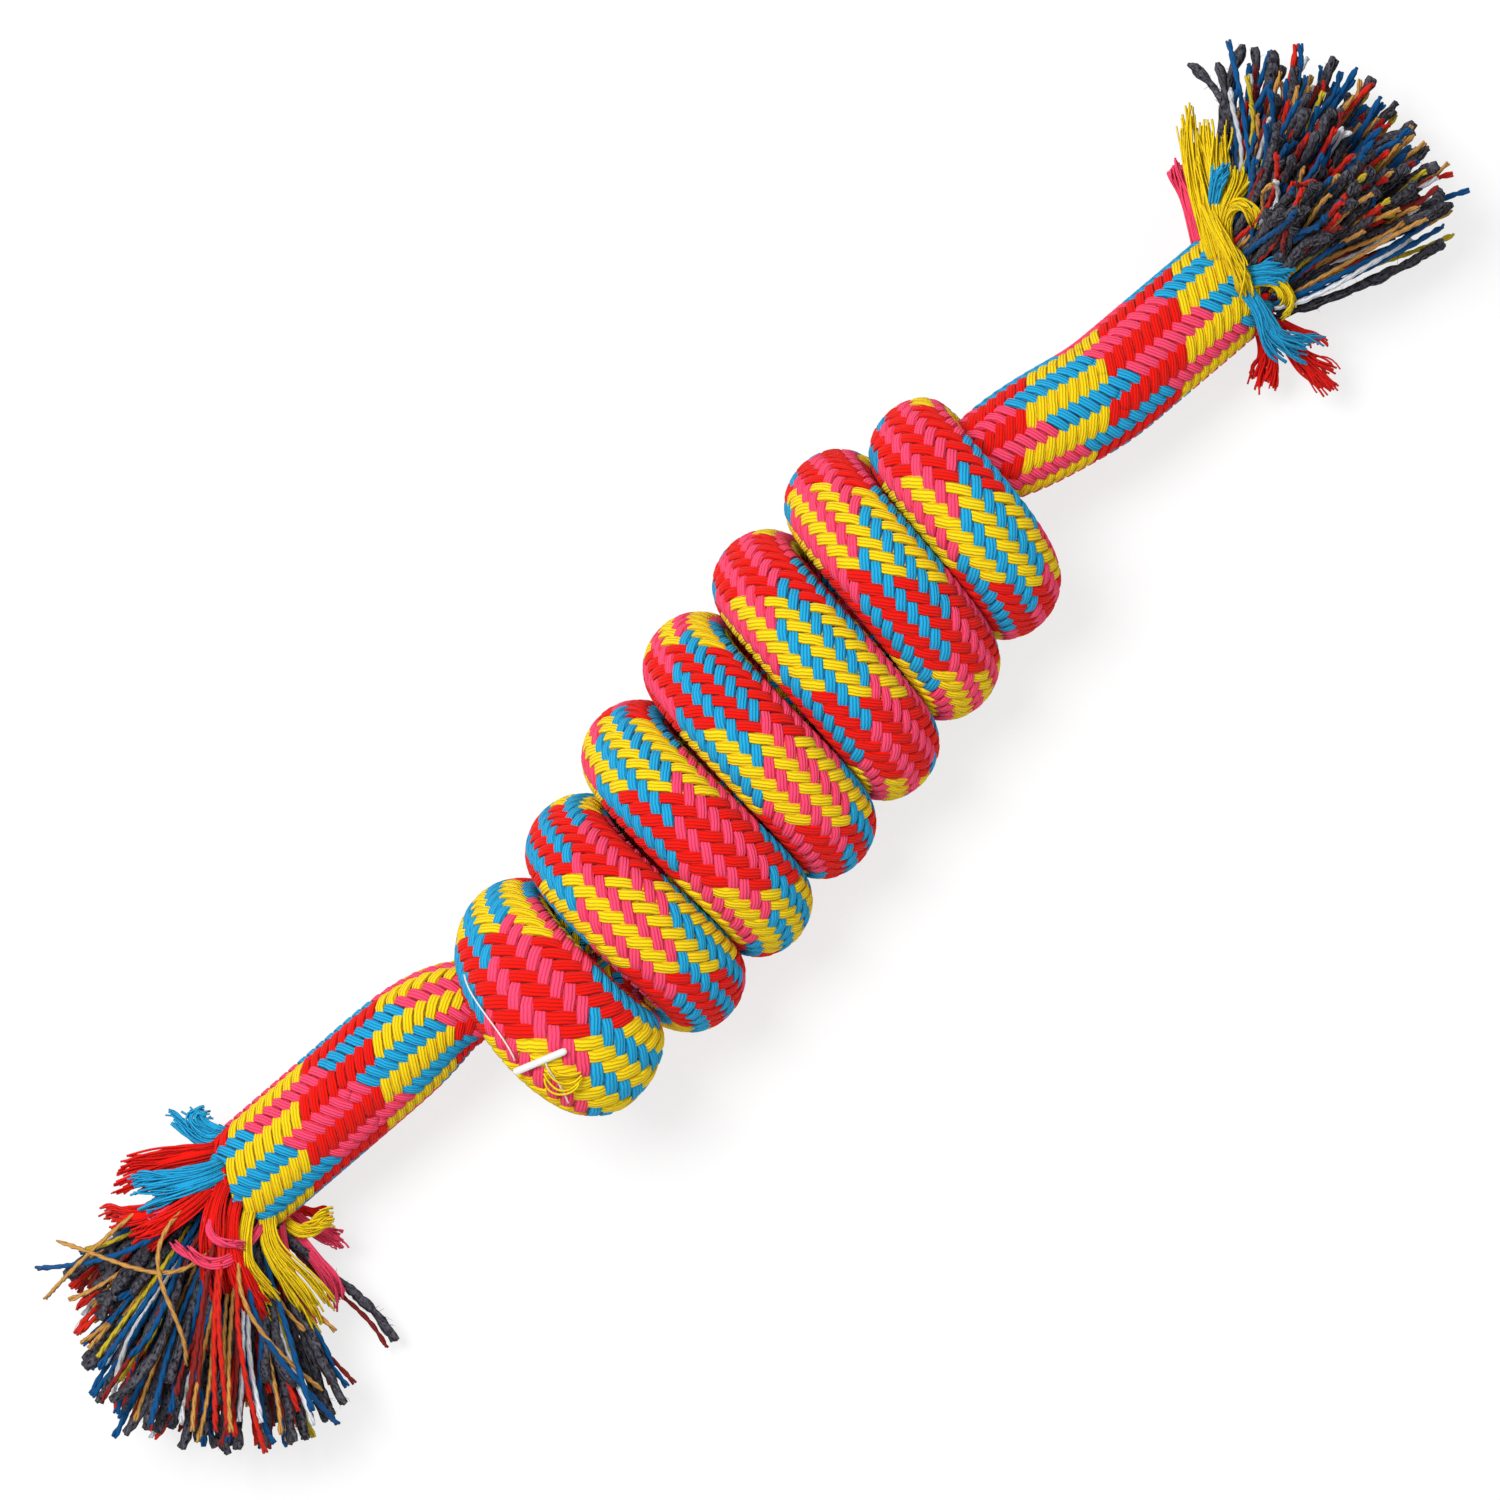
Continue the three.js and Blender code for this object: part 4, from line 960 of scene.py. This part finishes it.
RIGHT_TASSELS = [
    ("02", "yellow", 64, 1.2, 2.4,
     [(110.8, -8.6, 23.7), (115.4, -1.9, 27.0), (121.5, 5.0, 27.0), (129.2, 11.8, 24.0)]),
    ("02", "yellow", 57, 1.2, 2.6,
     [(112.0, -9.6, 24.5), (117.0, -3.9, 28.0), (122.6, 2.2, 29.0), (128.8, 8.0, 28.0)]),
    ("01", "pink", 30, 0.8, 1.2,
     [(111.3, -4.7, 17.5), (116.5, 2.1, 17.0), (118.7, 5.8, 17.0), (120.9, 9.7, 16.0)]),
    ("04", "yellow", 38, 0.8, 1.6,
     [(111.4, -8.8, 23.7), (117.8, -4.8, 29.0), (121.9, -3.4, 31.0), (125.2, -1.6, 31.0)]),
    ("03", "blue", 30, 0.6, 1.4,
     [(112.1, -6.0, 20.3), (118.4, -1.4, 30.0), (121.0, 0.0, 33.0), (124.2, 0.9, 34.0)]),
    ("04", "yellow", 30, 0.8, 0.9,
     [(112.4, -8.8, 23.7), (118.6, -4.6, 30.0), (120.1, -7.7, 32.0), (117.3, -11.9, 29.0)]),
    ("04", "yellow", 41, 1.0, 1.1,
     [(116.6, -1.0, 27.5), (113.6, -6.7, 30.0), (111.8, -11.6, 30.0), (109.3, -17.1, 26.5)]),
    ("07", "blue", 49, 1.0, 2.4,
     [(109.7, -15.6, 26.7), (108.1, -20.7, 25.0), (106.9, -25.1, 21.0), (108.8, -31.6, 16.0)]),
    ("07", "blue", 26, 0.7, 1.4,
     [(109.2, -17.9, 25.5), (107.8, -23.8, 23.0), (109.3, -27.4, 20.0), (112.4, -33.1, 16.0)]),
    ("05", "blue", 26, 0.7, 1.6,
     [(111.5, -12.4, 25.2), (114.3, -15.3, 29.0), (116.5, -16.8, 29.0), (119.0, -17.9, 28.0)]),
    ("05", "blue", 26, 0.7, 1.4,
     [(111.1, -13.7, 25.2), (113.1, -16.2, 28.0), (115.3, -17.8, 28.0), (115.8, -20.5, 27.0)]),
    ("06", "yellow", 34, 0.9, 1.0,
     [(109.9, -14.5, 25.6), (113.3, -17.0, 27.0), (113.7, -21.0, 26.0), (110.5, -22.6, 20.0)]),
    ("09", "red", 57, 0.8, 2.4,
     [(108.3, -20.4, 13.5), (105.6, -24.7, 12.0), (103.3, -26.5, 10.0), (99.9, -28.3, 8.0)]),
    ("08", "red", 41, 0.9, 2.7,
     [(109.6, -21.2, 16.5), (108.3, -29.7, 14.0), (108.4, -33.4, 12.0), (109.2, -38.0, 9.0)]),
    ("08", "red", 15, 0.5, 0.9,
     [(110.0, -21.0, 17.5), (111.4, -27.1, 16.0), (112.0, -29.6, 15.0), (111.9, -32.5, 12.0)]),
    ("10", "pink", 26, 0.8, 1.3,
     [(110.9, -12.0, 8.0), (114.5, -10.0, 6.0), (117.0, -8.5, 4.5), (119.5, -7.0, 3.0)]),
    ("11", "red", 26, 0.8, 1.5,
     [(110.9, -7.5, 9.5), (113.5, -5.5, 7.5), (115.5, -3.5, 6.0), (118.0, -2.0, 5.0)]),
]


def tassel_points(plies, root_width, tip_width, points, rng):
    """Loose plies that follow one curve in a flat bundle, which widens towards the tip. On the way they
    gather in clumps, which part and lift by the square of the share, waver by a sine, and stop short.
    The first of them is a flat tube, the part of the strand that is still whole."""
    clumps = plies // PLIES_A_CLUMP
    place = np.sqrt(rng.random(plies))
    turn = rng.uniform(0, TAU, plies)
    across = place * np.cos(turn)
    above = place * np.sin(turn)
    clump = np.minimum(((across + 1) / 2 * clumps).astype(int), clumps - 1)
    middle = (clump + 0.5) / clumps * 2 - 1
    stop = 1 - CLUMP_SHORTNESS * rng.random(clumps)[clump] - PLY_SHORTNESS * rng.random(plies)
    stop[0] = WHOLE
    across[0], above[0], middle[0] = 0, 0, 0
    t = np.linspace(0, 1, PLY_RINGS)[None] * stop[:, None]
    lines = curve_through(points, t)
    side, up = sides_of(lines, TASSEL_UPRIGHT)
    width = TASSEL_BREADTH * mix(root_width, tip_width, smooth(t))
    gathered = mix(across[:, None], middle[:, None], CLUMP_GATHERING * smooth(t))
    parted = rng.normal(0, CLUMP_PARTING, clumps)[clump][:, None] + rng.normal(0, PLY_PARTING, (plies, 1))
    lifted = rng.normal(0, CLUMP_LIFT, clumps)[clump][:, None] + rng.normal(0, PLY_PARTING, (plies, 1))
    wave = rng.uniform(0, TAU, (plies, 1)) + PLY_WAVES * TAU * t
    waver = PLY_WAVER * rng.normal(0, 1, (plies, 1)) * t
    parted[0], lifted[0], waver[0] = 0, 0, 0
    sideways = width * gathered + parted * t**2 + waver * np.sin(wave)
    upwards = TASSEL_FLATNESS * width * above[:, None] + lifted * t**2 + waver * np.cos(wave)
    lines = lines + side * sideways[..., None] + up * upwards[..., None]
    lines[..., 2] = np.maximum(lines[..., 2], 2 * PLY_RADIUS)
    radius = PLY_RADIUS * (1 + PLY_UNEVENNESS * rng.normal(0, 1, (plies, 1))) * np.ones_like(t)
    tubes = rings_along(lines, radius, PLY_SIDES)
    round_it = np.arange(PLY_SIDES) * TAU / PLY_SIDES
    whole = WHOLE_BREADTH * width[0] * (1 - WHOLE_THINNING * smooth(2 * t[0] / WHOLE - 1))
    broad = whole[:, None] * np.cos(round_it)
    thick = TASSEL_FLATNESS * WHOLE_FLATNESS * whole[:, None] * np.sin(round_it)
    flat = side[0][:, None] * broad[..., None] - up[0][:, None] * thick[..., None]
    tubes[0] = lines[0][:, None] + flat
    return tubes


def tassel_pieces(side, rows, seed):
    """One piece for each tassel row."""
    rng = np.random.default_rng(seed)
    for number, (node, colour, plies, root_width, tip_width, points) in enumerate(rows, 1):
        tubes = tassel_points(plies, root_width, tip_width, points, rng)
        strand = across_tube(tubes, rng.random(plies), PLY_ACROSS)
        piece = tube_piece(f"{side}_tassel_{number:02d}", tubes, COTTONS[colour], strand)
        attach(piece, f"{side}_tail")
        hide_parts(f"{side}_fray_{node}")


tassel_pieces("left", LEFT_TASSELS, LEFT_TASSEL_SEED)
tassel_pieces("right", RIGHT_TASSELS, RIGHT_TASSEL_SEED)

# The stage: a matt white floor, which glows to the eye so that it shows white and keeps the shadow,
# one large soft light from the upper left of the photo, and a camera straight above. Sizes are metres.
FLOOR_REACH = 3
FLOOR_GLOW = 0.72
WORLD_STRENGTH = 0.54
KEY_PLACE = np.array([-0.04, 0.42, 1.05])
KEY_AIM = np.array([0.01, 0, 0.02])
KEY_SIZE = 0.4
KEY_POWER = 10.2
CAMERA_PLACE = (0.00724, 0.00075, 1.024)
CAMERA_TURN = -51.0
CAMERA_LENS = 144
CAMERA_SENSOR = 36
floor_mesh = bpy.data.meshes.new("floor")
floor_corners = [(FLOOR_REACH * x, FLOOR_REACH * y, 0) for x, y in ((-1, -1), (1, -1), (1, 1), (-1, 1))]
floor_mesh.from_pydata(floor_corners, [], [(0, 1, 2, 3)])
floor = bpy.data.objects.new("floor", floor_mesh)
floor_material = bpy.data.materials.new("floor_white")
floor_material.use_nodes = True
floor_tree = floor_material.node_tree
floor_shader = floor_tree.nodes["Principled BSDF"]
floor_shader.inputs["Base Color"].default_value = linear("#F9F9F9")
floor_shader.inputs["Roughness"].default_value = 0.9
ray = add_node(floor_tree, "ShaderNodeLightPath", {}, {})
mirrored = add_node(
    floor_tree, "ShaderNodeMath", {"operation": "ADD"},
    {0: ray.outputs["Is Glossy Ray"], 1: ray.outputs["Is Transmission Ray"]})
seen = add_node(
    floor_tree, "ShaderNodeMath", {"operation": "ADD", "use_clamp": True},
    {0: mirrored.outputs[0], 1: ray.outputs["Is Camera Ray"]})
glow_share = add_node(
    floor_tree, "ShaderNodeMath", {"operation": "MULTIPLY"}, {0: seen.outputs[0], 1: FLOOR_GLOW})
glow = add_node(floor_tree, "ShaderNodeEmission", {}, {"Color": linear("#FFFFFF"), "Strength": 1.0})
lit_floor = add_node(
    floor_tree, "ShaderNodeMixShader", {},
    {0: glow_share.outputs[0], 1: floor_shader.outputs[0], 2: glow.outputs[0]})
floor_tree.links.new(lit_floor.outputs[0], floor_tree.nodes["Material Output"].inputs["Surface"])
floor_mesh.materials.append(floor_material)
bpy.context.scene.collection.objects.link(floor)

world = bpy.data.worlds.new("studio")
world.use_nodes = True
world.node_tree.nodes["Background"].inputs["Color"].default_value = linear("#FFFFFF")
world.node_tree.nodes["Background"].inputs["Strength"].default_value = WORLD_STRENGTH
bpy.context.scene.world = world

key_data = bpy.data.lights.new("key", "AREA")
key_data.size = KEY_SIZE
key_data.energy = KEY_POWER
key = bpy.data.objects.new("key", key_data)
key.location = KEY_PLACE
towards = KEY_AIM - KEY_PLACE
level = math.hypot(towards[0], towards[1])
key.rotation_euler = (math.atan2(level, -towards[2]), 0, math.atan2(-towards[0], towards[1]))
bpy.context.scene.collection.objects.link(key)

camera_data = bpy.data.cameras.new("camera")
camera_data.sensor_width = CAMERA_SENSOR
camera_data.lens = CAMERA_LENS
camera_data.dof.use_dof = False
camera = bpy.data.objects.new("camera", camera_data)
camera.location = CAMERA_PLACE
camera.rotation_euler = (0, 0, math.radians(CAMERA_TURN))
bpy.context.scene.collection.objects.link(camera)
bpy.context.scene.camera = camera
bpy.context.scene.view_settings.view_transform = "Standard"
